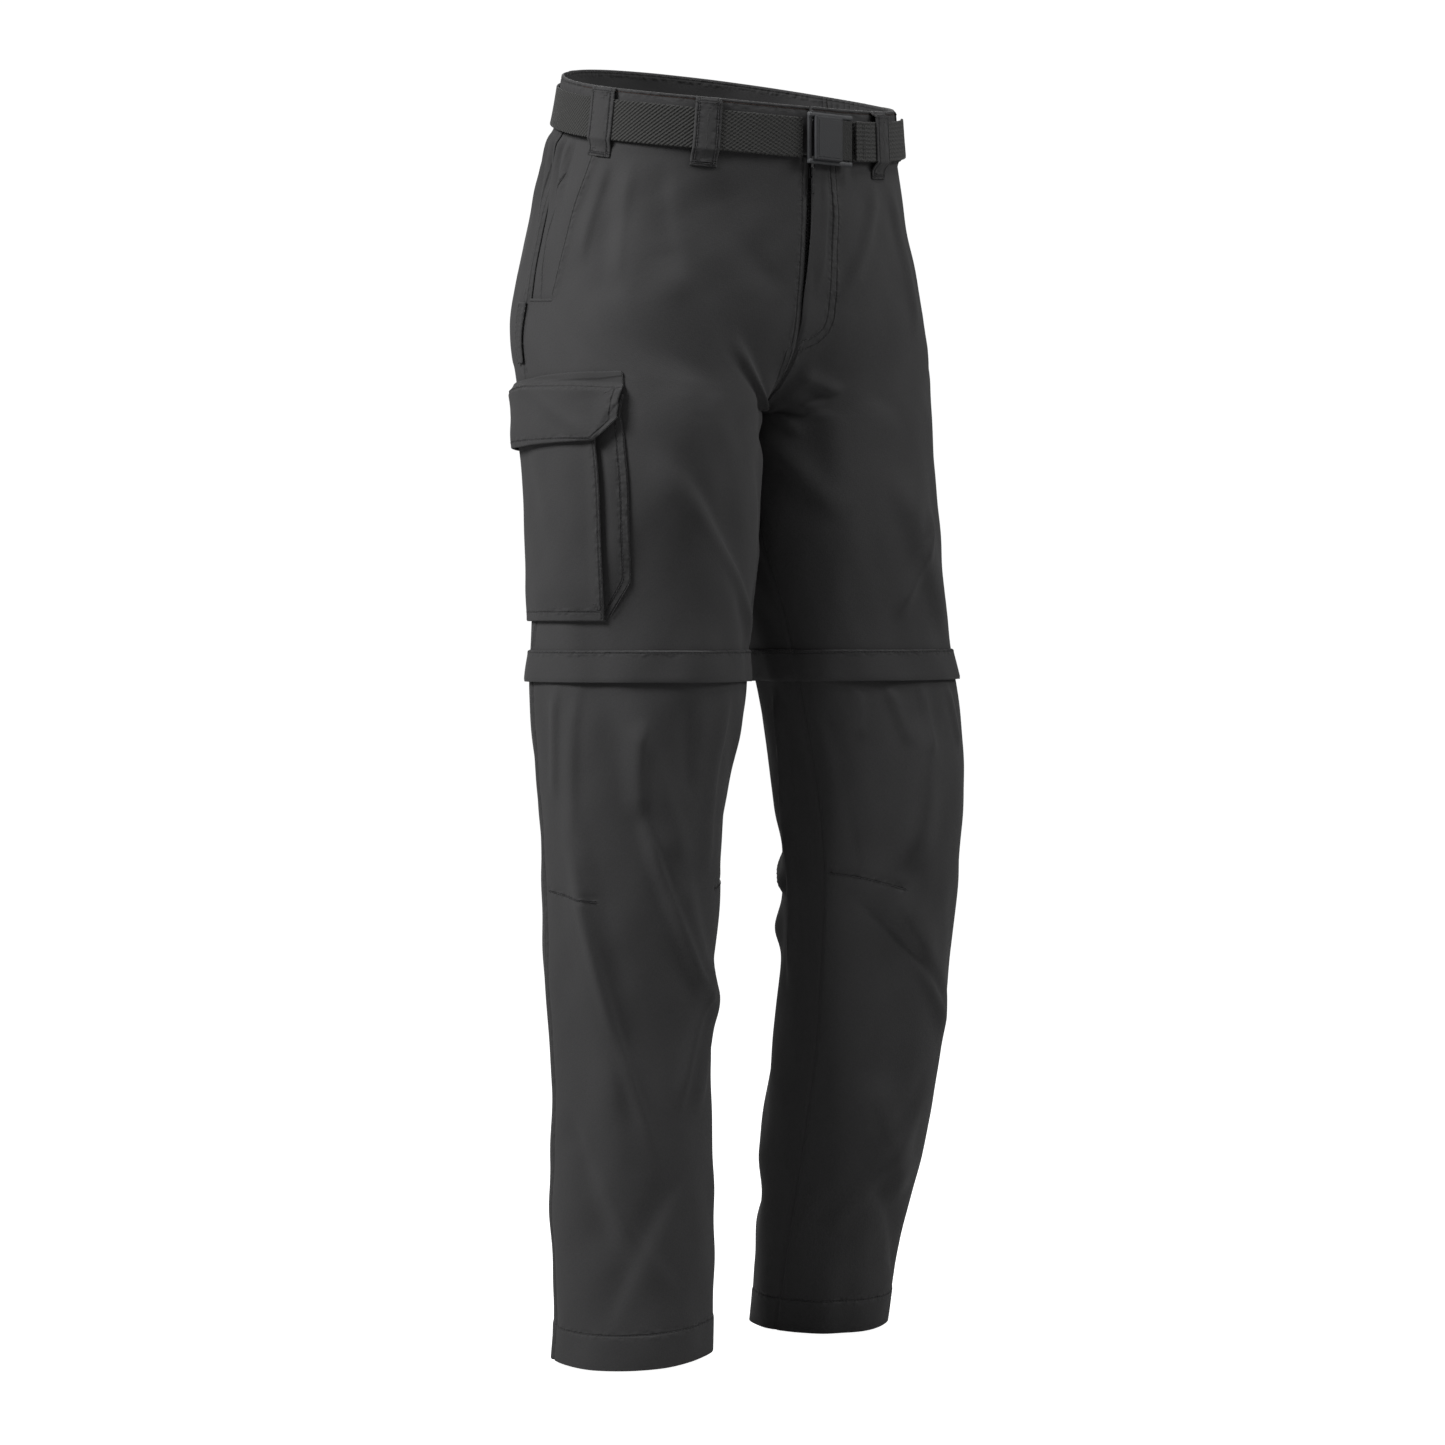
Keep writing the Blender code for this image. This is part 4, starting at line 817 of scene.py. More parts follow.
def build_cargo_pocket():
    """The right thigh's bellows pocket: its gusset, its front with a pleat beside it, and the flap."""
    height_of_pocket = POCKET_TOP - POCKET_BOTTOM

    def cut_corner(out, height):
        over = np.maximum(np.abs(out) - POCKET_FRONT_HALF, 0) / (POCKET_HALF - POCKET_FRONT_HALF)
        return height + POCKET_CORNER_CUT * over * (POCKET_TOP - height) / height_of_pocket

    def bulk(out, height):
        middle = smooth((POCKET_HALF - np.abs(out)) / POCKET_EASE)
        slack = 0.0007 * np.cos(out * 95 + height * 22) * np.cos(height * 31 + 1.0)
        return 2 * GAP + (POCKET_BULK + 0.0008 + slack) * middle * smooth((height - POCKET_BOTTOM) / 0.03)

    def gusset_lift(out, height):
        tuck = np.exp(-(((np.abs(out) - POCKET_FRONT_HALF - 0.001) / 0.004) ** 2))
        return bulk(out, height) - 0.0010 * tuck + rounded_edge(POCKET_HALF - np.abs(out))

    def front_lift(out, height):
        edge = POCKET_FRONT_HALF - np.abs(out)
        standing = 0.0026 * smooth((0.012 - edge) / 0.012) * smooth((height - POCKET_BOTTOM) / 0.02)
        hem = rounded_edge(height - POCKET_BOTTOM)
        return bulk(out, height) + CLOTH + GAP + standing + rounded_edge(edge) + hem

    side_steps = graded(-POCKET_HALF, POCKET_HALF, 0.0018)
    rows = graded(POCKET_TOP, POCKET_BOTTOM, 0.0024)
    border = POCKET_HALF - 0.0028
    lines = []
    for sign in (-1, 1):
        low = (POCKET_FRONT_HALF + 0.002, POCKET_BOTTOM + 0.005)
        corners = ((border, POCKET_TOP), (border, POCKET_BOTTOM + POCKET_CORNER_CUT), low)
        lines.append(np.array(corners) * np.array([sign, 1.0]))
    patch("cargo_gusset", RIGHT, side_steps, rows, gusset_lift, CLOTH, "pocket_cloth",
          double=lines, shift=cut_corner)

    front_steps = graded(-POCKET_FRONT_HALF, POCKET_FRONT_HALF, 0.0020)
    inner = POCKET_FRONT_HALF - 0.0018
    lines = [np.array([[-inner, POCKET_BOTTOM + 0.0075], [inner, POCKET_BOTTOM + 0.0075]])]
    for sign in (-1, 1):
        lines.append(np.array([[sign * inner, POCKET_TOP], [sign * inner, POCKET_BOTTOM + 0.002]]))
    patch("cargo_front", RIGHT, front_steps, rows, front_lift, CLOTH, "pocket_cloth",
          single=lines)

    def cut_flap(out, height):
        over = np.maximum(np.abs(out) - (FLAP_HALF - FLAP_CUT), 0) / FLAP_CUT
        share = (FLAP_TOP - height) / (FLAP_TOP - FLAP_BOTTOM)
        rise = (FLAP_TOP_RISE * (1 - share) + FLAP_BOTTOM_RISE * share) * np.maximum(out, 0) / FLAP_HALF
        return height + rise + FLAP_CUT * over * share

    def flap_lift(out, height):
        on_pocket = bulk(out, height) + 2 * (CLOTH + GAP) + 0.0008
        above = POCKET_TOP + FLAP_RISE_ROOM - cut_flap(out, height)
        over_pocket = smooth(above / (FLAP_RISE_ROOM - 0.002))
        standing = FLAP_STAND_OFF * smooth((-0.233 - height) / 0.036)
        wave = 0.0010 * np.cos(out * 60 + 0.6) * smooth((-0.235 - height) / 0.03)
        over = np.maximum(np.abs(out) - (FLAP_HALF - FLAP_CUT), 0)
        to_end = FLAP_HALF - np.abs(out)
        to_low = height - FLAP_BOTTOM - over * 0.9
        band = 0.0007 * smooth((height - FLAP_TOP + 0.0068) / 0.0008)
        edge = rounded_edge(np.minimum(to_end, to_low)) + rounded_edge(FLAP_TOP - height)
        ridge_at_corner = 0.0014 * np.exp(-(((out * 9 + (height + 0.25) * 14 - 0.4) / 0.10) ** 2))
        return 2 * GAP + (on_pocket - 2 * GAP) * over_pocket + standing + wave + band + edge + ridge_at_corner

    flap_steps = graded(-FLAP_HALF, FLAP_HALF, 0.0018)
    rows = np.concatenate([np.linspace(FLAP_TOP, FLAP_TOP - 0.0085, 11)[:-1],
                           graded(FLAP_TOP - 0.0085, FLAP_BOTTOM, 0.0017)])
    inset, corner = 0.0050, FLAP_HALF - FLAP_CUT
    band = FLAP_TOP - 0.0060
    half_border = np.array([[FLAP_HALF - inset, band], [FLAP_HALF - inset, FLAP_BOTTOM + FLAP_CUT + 0.002],
                            [corner - 0.002, FLAP_BOTTOM + inset]])
    border = np.concatenate([half_border * np.array([-1, 1]), half_border[::-1]])
    top = np.array([[-(FLAP_HALF - 0.001), band], [FLAP_HALF - 0.001, band]])
    bar = np.array([[FLAP_HALF - 0.008, FLAP_TOP - 0.0062], [FLAP_HALF - 0.001, FLAP_TOP - 0.0062]])
    patch("cargo_flap", RIGHT, flap_steps, rows, flap_lift, CLOTH, "pocket_cloth",
          single=[border, top, bar, bar * np.array([-1, 1])], shift=cut_flap)


# The waist

ELASTIC_FROM, ELASTIC_TO, ELASTIC_PITCH = 0.425, 0.560, 0.0062
SEAM_STEP = 0.0004
BELT_LIFT = PROUD + 2 * GAP
TAIL_LIFT = BELT_LIFT + WEBBING + GAP
BUCKLE_MIDDLE, BUCKLE_WIDTH, BUCKLE_HEIGHT = 0.0178, 0.050, 0.042
BUCKLE_REST_X, BUCKLE_SWING, BUCKLE_GAP = 0.004, 0.105, 0.0011
FRAME_DEPTH, PLATE_SIZE, PLATE_X = 0.0036, (0.0310, 0.0034, 0.0365), 0.0128
TAIL_END, TAIL_STAND_OFF, TAIL_CORNER, TAIL_RISE = 0.285, 0.0018, 0.009, 0.0022
HALF_WAIST = girth(RIGHT, 0.0)


def round_waist(turn, height, lift):
    """Points round the waist: a turn runs from 0 at the centre front, over the right side, to 2."""
    turn, height, lift = np.broadcast_arrays(turn, height, lift)
    right = off_cloth(RIGHT, turn, height, lift)
    left = off_cloth(LEFT, 2 - turn, height, lift)
    return np.where((turn <= 1)[..., None], right, left)


def waist_outward(turn, height):
    right = outward(body_form, RIGHT, turn, height)
    return np.where((turn <= 1)[..., None], right, outward(body_form, LEFT, 2 - turn, height))


def front_turn(x):
    """Share of the half waist from the centre front to a place x, small and near it."""
    return abs(x) / (math.pi * HIPS[0][HALF_WIDTH])


def waist_strip(node, turns, heights, lift, thickness, finish, single=(), double=(), cloth=True):
    """Cloth or webbing round the waist; lift works on (turn, height) and gives the outer face."""
    turn, height = np.meshgrid(turns, heights)
    points = round_waist(turn, height, lift(turn, height))
    normals = waist_outward(turn, height)
    places = np.stack([turn * HALF_WAIST, height], axis=-1)
    if cloth:
        return lay_cloth(node, points, normals, places, thickness, finish, single, double)
    mesh = grid_mesh(node + "_webbing", points, places, {}, normals)
    made = add_piece(node + "_webbing", mesh, finish, replaces=(node,))
    solidify = made.modifiers.new("thickness", "SOLIDIFY")
    solidify.thickness, solidify.offset = thickness, -1.0
    return made


def sew_round_waist(run, start, end, height, lift, pitch=STITCH_PITCH):
    turn = np.linspace(start, end, max(3, int(abs(end - start) * HALF_WAIST / 0.004)))
    line = round_waist(turn, height, lift(turn, height))
    sew(run, line, waist_outward(turn, height + 0.0 * turn), pitch)


def build_waistband():
    """Two fronts that meet under the buckle, gathered sides and the back, folded over along the top."""
    heights = WAISTBAND_TOP - np.concatenate([
        np.array([0.0, 0.0003, 0.0008, 0.0015, 0.0024, 0.0035]), np.linspace(0.005, 0.040, 16)])

    def plain(turn, height):
        drop = rounded_edge(WAISTBAND_TOP - height, 0.0018)
        slack = 0.0004 * np.cos(turn * 41) * smooth((height - 0.012) / 0.01)
        return PROUD + drop + slack - 0.0005 * np.exp(-(((WAISTBAND_TOP - 0.0030 - height) / 0.0007) ** 2))

    def gathered(turn, height):
        side_turn = np.where(turn > 1, 2 - turn, turn)
        edge = np.minimum(side_turn - ELASTIC_FROM, ELASTIC_TO - side_turn)
        along = side_turn * HALF_WAIST / ELASTIC_PITCH
        pleat = np.abs(np.cos(np.pi * along + 0.5 * np.cos(along * 1.3))) ** 0.7
        return plain(turn, height) + (0.0014 * pleat - 0.0004) * smooth(edge / 0.012)

    spans = (
        ("waistband_right_front", 0.0006, ELASTIC_FROM - SEAM_STEP, 0.003, plain),
        ("waistband_elastic_right", ELASTIC_FROM + SEAM_STEP, ELASTIC_TO - SEAM_STEP, 0.0009, gathered),
        ("waistband_back", ELASTIC_TO + SEAM_STEP, 2 - ELASTIC_TO - SEAM_STEP, 0.003, plain),
        ("waistband_elastic_left", 2 - ELASTIC_TO + SEAM_STEP, 2 - ELASTIC_FROM - SEAM_STEP, 0.0009,
         gathered),
        ("waistband_left_front", 2 - ELASTIC_FROM + SEAM_STEP, 1.9994, 0.003, plain),
    )
    edge = WAISTBAND_TOP - 0.0030
    for name, start, end, step, lift in spans:
        turns = graded(start, end, step / HALF_WAIST, 0.0006 / HALF_WAIST, 0.004 / HALF_WAIST)
        line = np.array([[start * HALF_WAIST, edge], [end * HALF_WAIST, edge]])
        waist_strip(name, turns, heights, lift, BAND_CLOTH, "cloth", single=[line])
        if "elastic" not in name:
            sew_round_waist("waistband_edge_stitches", start + 0.004, end - 0.004, edge,
                            lambda turn, height, lift=lift: lift(turn, height) + 0.0002)


def build_belt():
    """Webbing from one side of the buckle right round to the other, and the tail over its left end."""
    right_end = front_turn(BUCKLE_MIDDLE - BUCKLE_WIDTH / 2 - BUCKLE_GAP)
    left_end = front_turn(BUCKLE_MIDDLE + BUCKLE_WIDTH / 2 + BUCKLE_GAP)
    half = BELT_WIDTH / 2
    side_rows = np.array([1.0, 0.989, 0.966, 0.931, 0.886, 0.71, 0.49, 0.24])
    heights = BELT_MIDDLE + half * np.concatenate([side_rows, [0.0], -side_rows[::-1]])

    def belt_edge(height):
        return rounded_edge(half - np.abs(height - BELT_MIDDLE), 0.0011)

    def belt_lift(turn, height):
        return BELT_LIFT + WEBBING + belt_edge(height)

    turns = np.linspace(right_end, 2 - left_end, 420)
    waist_strip("belt", turns, heights, belt_lift, WEBBING, "webbing", cloth=False)

    tail = graded(left_end, TAIL_END, 0.003 / HALF_WAIST, 0.0005 / HALF_WAIST, 0.004 / HALF_WAIST)

    def tail_lift(turn, height):
        gone = (2 - turn - left_end) / (TAIL_END - left_end)
        folded = 0.0009 * (1 - smooth((gone * (TAIL_END - left_end) * HALF_WAIST - 0.0075) / 0.0012))
        stand_off = TAIL_STAND_OFF * smooth((gone - 0.62) / 0.38)
        drop = belt_edge(height) + rounded_edge((1 - gone) * 0.08, 0.0011)
        return TAIL_LIFT + WEBBING + stand_off + folded + drop

    turn, height = np.meshgrid(2 - tail, heights)
    to_end = (tail[-1] - tail) * HALF_WAIST
    corner = TAIL_CORNER * (1 - np.sqrt(1 - np.clip(1 - to_end / TAIL_CORNER, 0, 1) ** 2))
    flat_height = height + corner[None, :] * smooth((BELT_MIDDLE + half - height) / BELT_WIDTH)

    def tail_points(turn, height):
        gone = np.clip((2 - turn - left_end) / (TAIL_END - left_end), 0, 1)
        return round_waist(turn, height + TAIL_RISE * gone**1.6, tail_lift(turn, height))

    points = tail_points(turn, flat_height)
    normals = waist_outward(turn, height)
    mesh = grid_mesh("belt_tail_webbing", points, np.stack([turn * HALF_WAIST, height], axis=-1), {}, normals)
    made = add_piece("belt_tail_webbing", mesh, "tail_webbing", replaces=("belt_tail",))
    solidify = made.modifiers.new("thickness", "SOLIDIFY")
    solidify.thickness, solidify.offset = WEBBING, -1.0
    near_buckle, near_end = 2 - left_end - 0.0065 / HALF_WAIST, 2 - TAIL_END + 0.0085 / HALF_WAIST
    for sewn in (near_buckle, near_buckle - 0.0026 / HALF_WAIST, near_end):
        rise = BELT_MIDDLE + np.linspace(-half + 0.0015, half - 0.0015, 14)
        turned = np.full_like(rise, sewn)
        sew("belt_stitches", tail_points(turned, rise), waist_outward(turned, rise))


LOOPS = (
    ("loop_front_right", 0.1735, BELT_LIFT),
    ("loop_side_right", 0.352, BELT_LIFT),
    ("loop_back_right", 0.740, BELT_LIFT),
    ("loop_centre_back", 1.000, BELT_LIFT),
    ("loop_back_left", 1.260, BELT_LIFT),
    ("loop_side_left", 1.648, BELT_LIFT),
    ("loop_front_left", 1.839, TAIL_LIFT),
)
LOOP_THICKNESS = 0.0015


def build_loops():
    """Each loop is sewn to the waistband's top edge, bridges the belt and ends below it on the panel."""
    on_band, on_panel = PROUD + GAP, GAP + 0.0001
    heights = np.concatenate([
        0.0250 - np.array([0, 0.0004, 0.0012, 0.0022, 0.0034, 0.0046, 0.0056, 0.0066]),
        np.linspace(0.0165, -0.0165, 13),
        -0.0175 - np.array([0, 0.0012, 0.0026, 0.0040, 0.0054, 0.0070, 0.0090, 0.0112, 0.0132, 0.0141,
                            0.0145]),
    ])
    for name, middle, under in LOOPS:
        step = np.linalg.norm(round_waist(middle + 0.01, 0.0, 0.0) - round_waist(middle - 0.01, 0.0, 0.0))
        half = LOOP_WIDTH / 2 * 0.02 / step
        bridge = under + WEBBING + GAP
        profile_heights = (-0.0320, -0.0250, -0.0215, -0.0181, 0.0178, 0.0205, 0.0232, 0.0250)
        profile = (on_panel, on_panel, (on_panel + bridge) * 0.45, bridge, bridge, bridge,
                   on_band + 0.0008, on_band)

        def lift(turn, height):
            across = (turn - middle) / half
            raised = np.interp(height, profile_heights, profile) + LOOP_THICKNESS
            raised = raised + 0.0003 * np.cos(across * np.pi) + 0.0006 * (height > 0.0195)
            ends = rounded_edge(np.minimum(0.0250 - height, height + 0.0320), 0.0008)
            return raised + ends + rounded_edge((1 - np.abs(across)) * LOOP_WIDTH / 2, 0.0009)

        turns = graded(middle - half, middle + half, 0.0013 / HALF_WAIST, 0.0004 / HALF_WAIST,
                       0.003 / HALF_WAIST)
        inset = half * 0.72
        columns = [np.array([[at, 0.024], [at, -0.031]])
                   for at in ((middle - inset) * HALF_WAIST, (middle + inset) * HALF_WAIST)]
        ends = [np.array([[(middle - half) * HALF_WAIST, at], [(middle + half) * HALF_WAIST, at]])
                for at in (0.0215, -0.0298)]
        waist_strip(name, turns, heights, lift, LOOP_THICKNESS, "cloth", single=columns + ends)
        run = "loop_stitches"
        for sign in (-1, 1):
            rise = np.linspace(0.0235, -0.0305, 24)
            turned = np.full_like(rise, middle + sign * inset)
            sew(run, round_waist(turned, rise, lift(turned, rise) + 0.0002), waist_outward(turned, rise))
        for at in (0.0215, -0.0282, -0.0298):
            turned = np.linspace(middle - half * 0.85, middle + half * 0.85, 8)
            rise = np.full_like(turned, at)
            line = round_waist(turned, rise, lift(turned, rise) + 0.0002)
            sew(run, line, waist_outward(turned, rise), 0.0016)


# Buckle, zips and pull

def block(bm, size, centre, bevel, segments=3, taper=None):
    """A rounded block added to a bmesh."""
    made = bmesh.ops.create_cube(bm, size=1.0)["verts"]
    bmesh.ops.scale(bm, vec=size, verts=made)
    if taper:
        for vert in made:
            if vert.co.z < 0:
                vert.co.x *= taper
    edges = list({edge for vert in made for edge in vert.link_edges})
    faces = bmesh.ops.bevel(bm, geom=edges, offset=bevel, affect="EDGES", segments=segments, profile=0.5,
                            material=-1)["verts"]
    bmesh.ops.translate(bm, vec=centre, verts=list({*faces}))
    return faces


def add_solid(name, bm, finish, body="trousers", replaces=()):
    bmesh.ops.recalc_face_normals(bm, faces=bm.faces[:])
    mesh = bpy.data.meshes.new(name)
    bm.to_mesh(mesh)
    bm.free()
    made = add_piece(name, mesh, finish, body, replaces)
    for polygon in mesh.polygons:
        polygon.use_smooth = True
    made.modifiers.new("even shading", "WEIGHTED_NORMAL").keep_sharp = True
    return made


def build_buckle():
    """The moulded buckle: two rails, side bars behind, and the bare plate raised on them."""
    cloth = Vector(round_waist(2 - front_turn(BUCKLE_REST_X), BELT_MIDDLE, 0.0))
    back = cloth + Vector((0, -PROUD - 4 * GAP, 0))
    turned = Matrix.Translation(back) @ Matrix.Rotation(BUCKLE_SWING, 4, "Z")
    middle = BUCKLE_MIDDLE - BUCKLE_REST_X
    plate = PLATE_X - BUCKLE_REST_X

    def place(name, blocks, finish, replaces=()):
        bm = bmesh.new()
        for size, centre, bevel in blocks:
            block(bm, size, Vector(centre), bevel)
        bmesh.ops.transform(bm, matrix=turned, verts=bm.verts)
        add_solid(name, bm, finish, replaces=replaces)

    rail_at = (BUCKLE_HEIGHT - 0.0038) / 2
    place("buckle_rails", [((BUCKLE_WIDTH, 0.0044, 0.0038), (middle, -0.0022, sign * rail_at), 0.0012)
                           for sign in (-1, 1)], "buckle_rail")
    bar_size, bar_out = (0.0034, 0.0030, BUCKLE_HEIGHT - 0.004), BUCKLE_WIDTH / 2 - 0.0018
    bars = [(bar_size, (middle + sign * bar_out, -0.0017, 0.0), 0.0008) for sign in (-1, 1)]
    folded = ((0.0130, 0.0034, BELT_WIDTH - 0.0004), (middle + 0.0180, -0.0025, 0.0), 0.0010)
    place("buckle_bars", bars + [((0.029, 0.0020, 0.0300), (plate, -0.0014, 0.0), 0.0006)], "buckle",
          ("buckle_frame",))
    place("belt_fold", [folded], "belt_fold")
    depth, field = PLATE_SIZE[1], 0.0005
    front = -FRAME_DEPTH - GAP - depth / 2
    raised = front - (depth + field) / 2 + 0.0002
    place("buckle_cover", [(PLATE_SIZE, (plate, front, 0.0), 0.0012),
                           ((0.0255, field, 0.0310), (plate, raised, 0.0), 0.0003)],
          "buckle", ("buckle_plate",))


ZIP_TURN, ZIP_LIFT = 0.012, -CLOTH - 3 * GAP
PULL_AXIS_HEIGHT, PULL_X = -0.0265, 0.0034
TOOTH_PITCH = 0.0017


def build_fly_zip():
    """Tape behind the parting with a chain of moulded teeth, the slider at its top and the pull on it."""
    heights = np.linspace(FLY_TOP - 0.0020, FLY_BOTTOM, 60)
    turn, height = np.meshgrid(np.linspace(-ZIP_TURN, ZIP_TURN, 9), heights)
    points = off_cloth(RIGHT, turn, height, ZIP_LIFT + 0.0 * turn)
    normals = outward(body_form, RIGHT, turn, height)
    places = np.stack([turn * HALF_WAIST, height], axis=-1)
    mesh = grid_mesh("fly_zip_tape", points, places, {}, normals)
    made = add_piece("fly_zip_tape", mesh, "zip_tape", replaces=("fly_zip",))
    solidify = made.modifiers.new("thickness", "SOLIDIFY")
    solidify.thickness, solidify.offset = 0.0011, -1.0
    bm = bmesh.new()
    for k, at in enumerate(np.arange(FLY_TOP - 0.0045, FLY_BOTTOM, -TOOTH_PITCH)):
        chain = Vector(off_cloth(RIGHT, 0.0, float(at), -0.0020))
        block(bm, (0.0030, 0.0012, 0.0011), chain + Vector((0.0006 * (-1) ** k + 0.0030, 0, 0)), 0.0003, 1)
    add_solid("fly_zip_teeth", bm, "zip_metal")

    cloth = Vector(off_cloth(RIGHT, 0.0, PULL_AXIS_HEIGHT, 0.0))
    bm = bmesh.new()
    block(bm, (0.0046, 0.0020, 0.0088), cloth + Vector((PULL_X, 0.0004, -0.0030)), 0.0006, taper=0.8)
    block(bm, (0.0014, 0.0012, 0.0060), cloth + Vector((PULL_X, -0.0010, -0.0026)), 0.0004)
    add_solid("fly_zip_slider", bm, "zip_metal", replaces=("fly_slider",))

    pivot = cloth + Vector((PULL_X, -0.0029, 0.0))
    bm = bmesh.new()
    block(bm, (0.0040, 0.0013, 0.0060), pivot + Vector((0, 0, -0.0020)), 0.0005)
    block(bm, (0.0030, 0.0010, 0.0100), pivot + Vector((0, 0, -0.0085)), 0.0004)
    block(bm, (0.0041, 0.0013, 0.0080), pivot + Vector((0, 0, -0.0165)), 0.0006, taper=0.85)
    add_solid("fly_zip_pull", bm, "zip_metal", body="pull", replaces=("fly_pull",))


# Finishes

def add_node(nodes, kind, **settings):
    node = nodes.new(kind)
    for name, value in settings.items():
        setattr(node, name, value)
    return node


def arithmetic(tree, operation, first, second=None, third=None):
    """A Math node; inputs are sockets or numbers."""
    node = add_node(tree.nodes, "ShaderNodeMath", operation=operation)
    for k, value in enumerate((first, second, third)):
        if value is None:
            continue
        if isinstance(value, (int, float)):
            node.inputs[k].default_value = value
        else:
            tree.links.new(value, node.inputs[k])
    return node.outputs[0]


def eased(tree, value, start, end, low=0.0, high=1.0):
    """A value mapped in an eased step from start..end to low..high."""
    node = add_node(tree.nodes, "ShaderNodeMapRange", interpolation_type="SMOOTHSTEP")
    tree.links.new(value, node.inputs["Value"])
    for name, number in (("From Min", start), ("From Max", end), ("To Min", low), ("To Max", high)):
        node.inputs[name].default_value = number
    return node.outputs[0]


def new_group(name, sockets):
    """A node group with named sockets: (name, in or out, kind, default)."""
    tree = bpy.data.node_groups.new(name, "ShaderNodeTree")
    for socket_name, way, kind, value in sockets:
        made = tree.interface.new_socket(socket_name, in_out=way, socket_type="NodeSocket" + kind)
        if value is not None:
            made.default_value = value
    return tree, tree.nodes.new("NodeGroupInput").outputs, tree.nodes.new("NodeGroupOutput").inputs


def stretched(tree, scale_u, scale_v, detail=2.0, roughness=0.5, offset=0.0):
    """Noise over the cloth's own measures, in grains per metre along each direction."""
    place = add_node(tree.nodes, "ShaderNodeUVMap", uv_map="cloth")
    mapping = tree.nodes.new("ShaderNodeMapping")
    mapping.inputs["Scale"].default_value = (scale_u, scale_v, 1.0)
    mapping.inputs["Location"].default_value = (offset, offset * 0.7, 0.0)
    tree.links.new(place.outputs[0], mapping.inputs["Vector"])
    noise = tree.nodes.new("ShaderNodeTexNoise")
    noise.inputs["Scale"].default_value = 1.0
    noise.inputs["Detail"].default_value = detail
    noise.inputs["Roughness"].default_value = roughness
    tree.links.new(mapping.outputs[0], noise.inputs["Vector"])
    return noise.outputs[0]


def tinted(tree, colour, factor):
    """A colour made lighter or darker by a factor."""
    node = add_node(tree.nodes, "ShaderNodeVectorMath", operation="SCALE")
    tree.links.new(colour, node.inputs[0])
    tree.links.new(factor, node.inputs["Scale"])
    return node.outputs[0]


def cloth_group():
    """Fine plain weave, faint unevenness of tone, and grooves and puckers along the stitched lines, with
    painted shade darkening the colour in the grooves.
    """
    tree, given, made = new_group("fine weave with stitched lines", (
        ("Colour", "INPUT", "Color", (0.05, 0.05, 0.05, 1)), ("Pucker", "INPUT", "Float", 1.0),
        ("Base Color", "OUTPUT", "Color", None), ("Roughness", "OUTPUT", "Float", None),
        ("Height", "OUTPUT", "Float", None),
    ))
    # The stitch grooves' mask: it sinks the bump, and it darkens the colour as painted shade.
    groove_and_shade = None
    pucker = None
    for kind, offset in (("single", 0.0), ("double", DOUBLE_ROW / 2)):
        line = add_node(tree.nodes, "ShaderNodeAttribute", attribute_name=kind + "_line").outputs["Fac"]
        near = add_node(tree.nodes, "ShaderNodeAttribute", attribute_name=kind + "_near").outputs["Fac"]
        away = arithmetic(tree, "ABSOLUTE", line)
        if offset:
            away = arithmetic(tree, "ABSOLUTE", arithmetic(tree, "SUBTRACT", away, offset))
        dip = arithmetic(tree, "MULTIPLY", eased(tree, away, 0.0, 0.0011, 1.0, 0.0), near)
        pull = arithmetic(tree, "MULTIPLY", eased(tree, away, 0.0006, 0.0048, 1.0, 0.0), near)
        groove_and_shade = dip if groove_and_shade is None else arithmetic(tree, "MAXIMUM", groove_and_shade, dip)
        pucker = pull if pucker is None else arithmetic(tree, "MAXIMUM", pucker, pull)
    waves = arithmetic(tree, "SUBTRACT", stretched(tree, 170.0, 170.0, 1.0), 0.5)
    puckers = arithmetic(tree, "MULTIPLY", arithmetic(tree, "MULTIPLY", waves, pucker), given["Pucker"])
    warp = stretched(tree, 1500.0, 420.0, 1.0)
    weft = stretched(tree, 420.0, 1500.0, 1.0, offset=3.0)
    weave = arithmetic(tree, "ADD", warp, weft)
    soft = stretched(tree, 38.0, 30.0, 3.0, 0.6, 7.0)
    height = arithmetic(tree, "MULTIPLY", weave, 0.10)
    height = arithmetic(tree, "ADD", height, arithmetic(tree, "MULTIPLY", soft, 0.55))
    height = arithmetic(tree, "SUBTRACT", height, arithmetic(tree, "MULTIPLY", groove_and_shade, 0.55))
    height = arithmetic(tree, "ADD", height, arithmetic(tree, "MULTIPLY", puckers, 2.2))
    tree.links.new(height, made["Height"])
    tone = arithmetic(tree, "MULTIPLY_ADD", weave, 0.22, 0.78)
    tone = arithmetic(tree, "MULTIPLY", tone, arithmetic(tree, "MULTIPLY_ADD", soft, 0.16, 0.92))
    # Painted shade: the base colour is darkened by up to a third in the stitch grooves, where shade would
    # fall.
    tone = arithmetic(tree, "MULTIPLY", tone, arithmetic(tree, "MULTIPLY_ADD", groove_and_shade, -0.34, 1.0))
    tree.links.new(tinted(tree, given["Colour"], tone), made["Base Color"])
    tree.links.new(arithmetic(tree, "MULTIPLY_ADD", soft, 0.10, 0.80), made["Roughness"])
    return tree


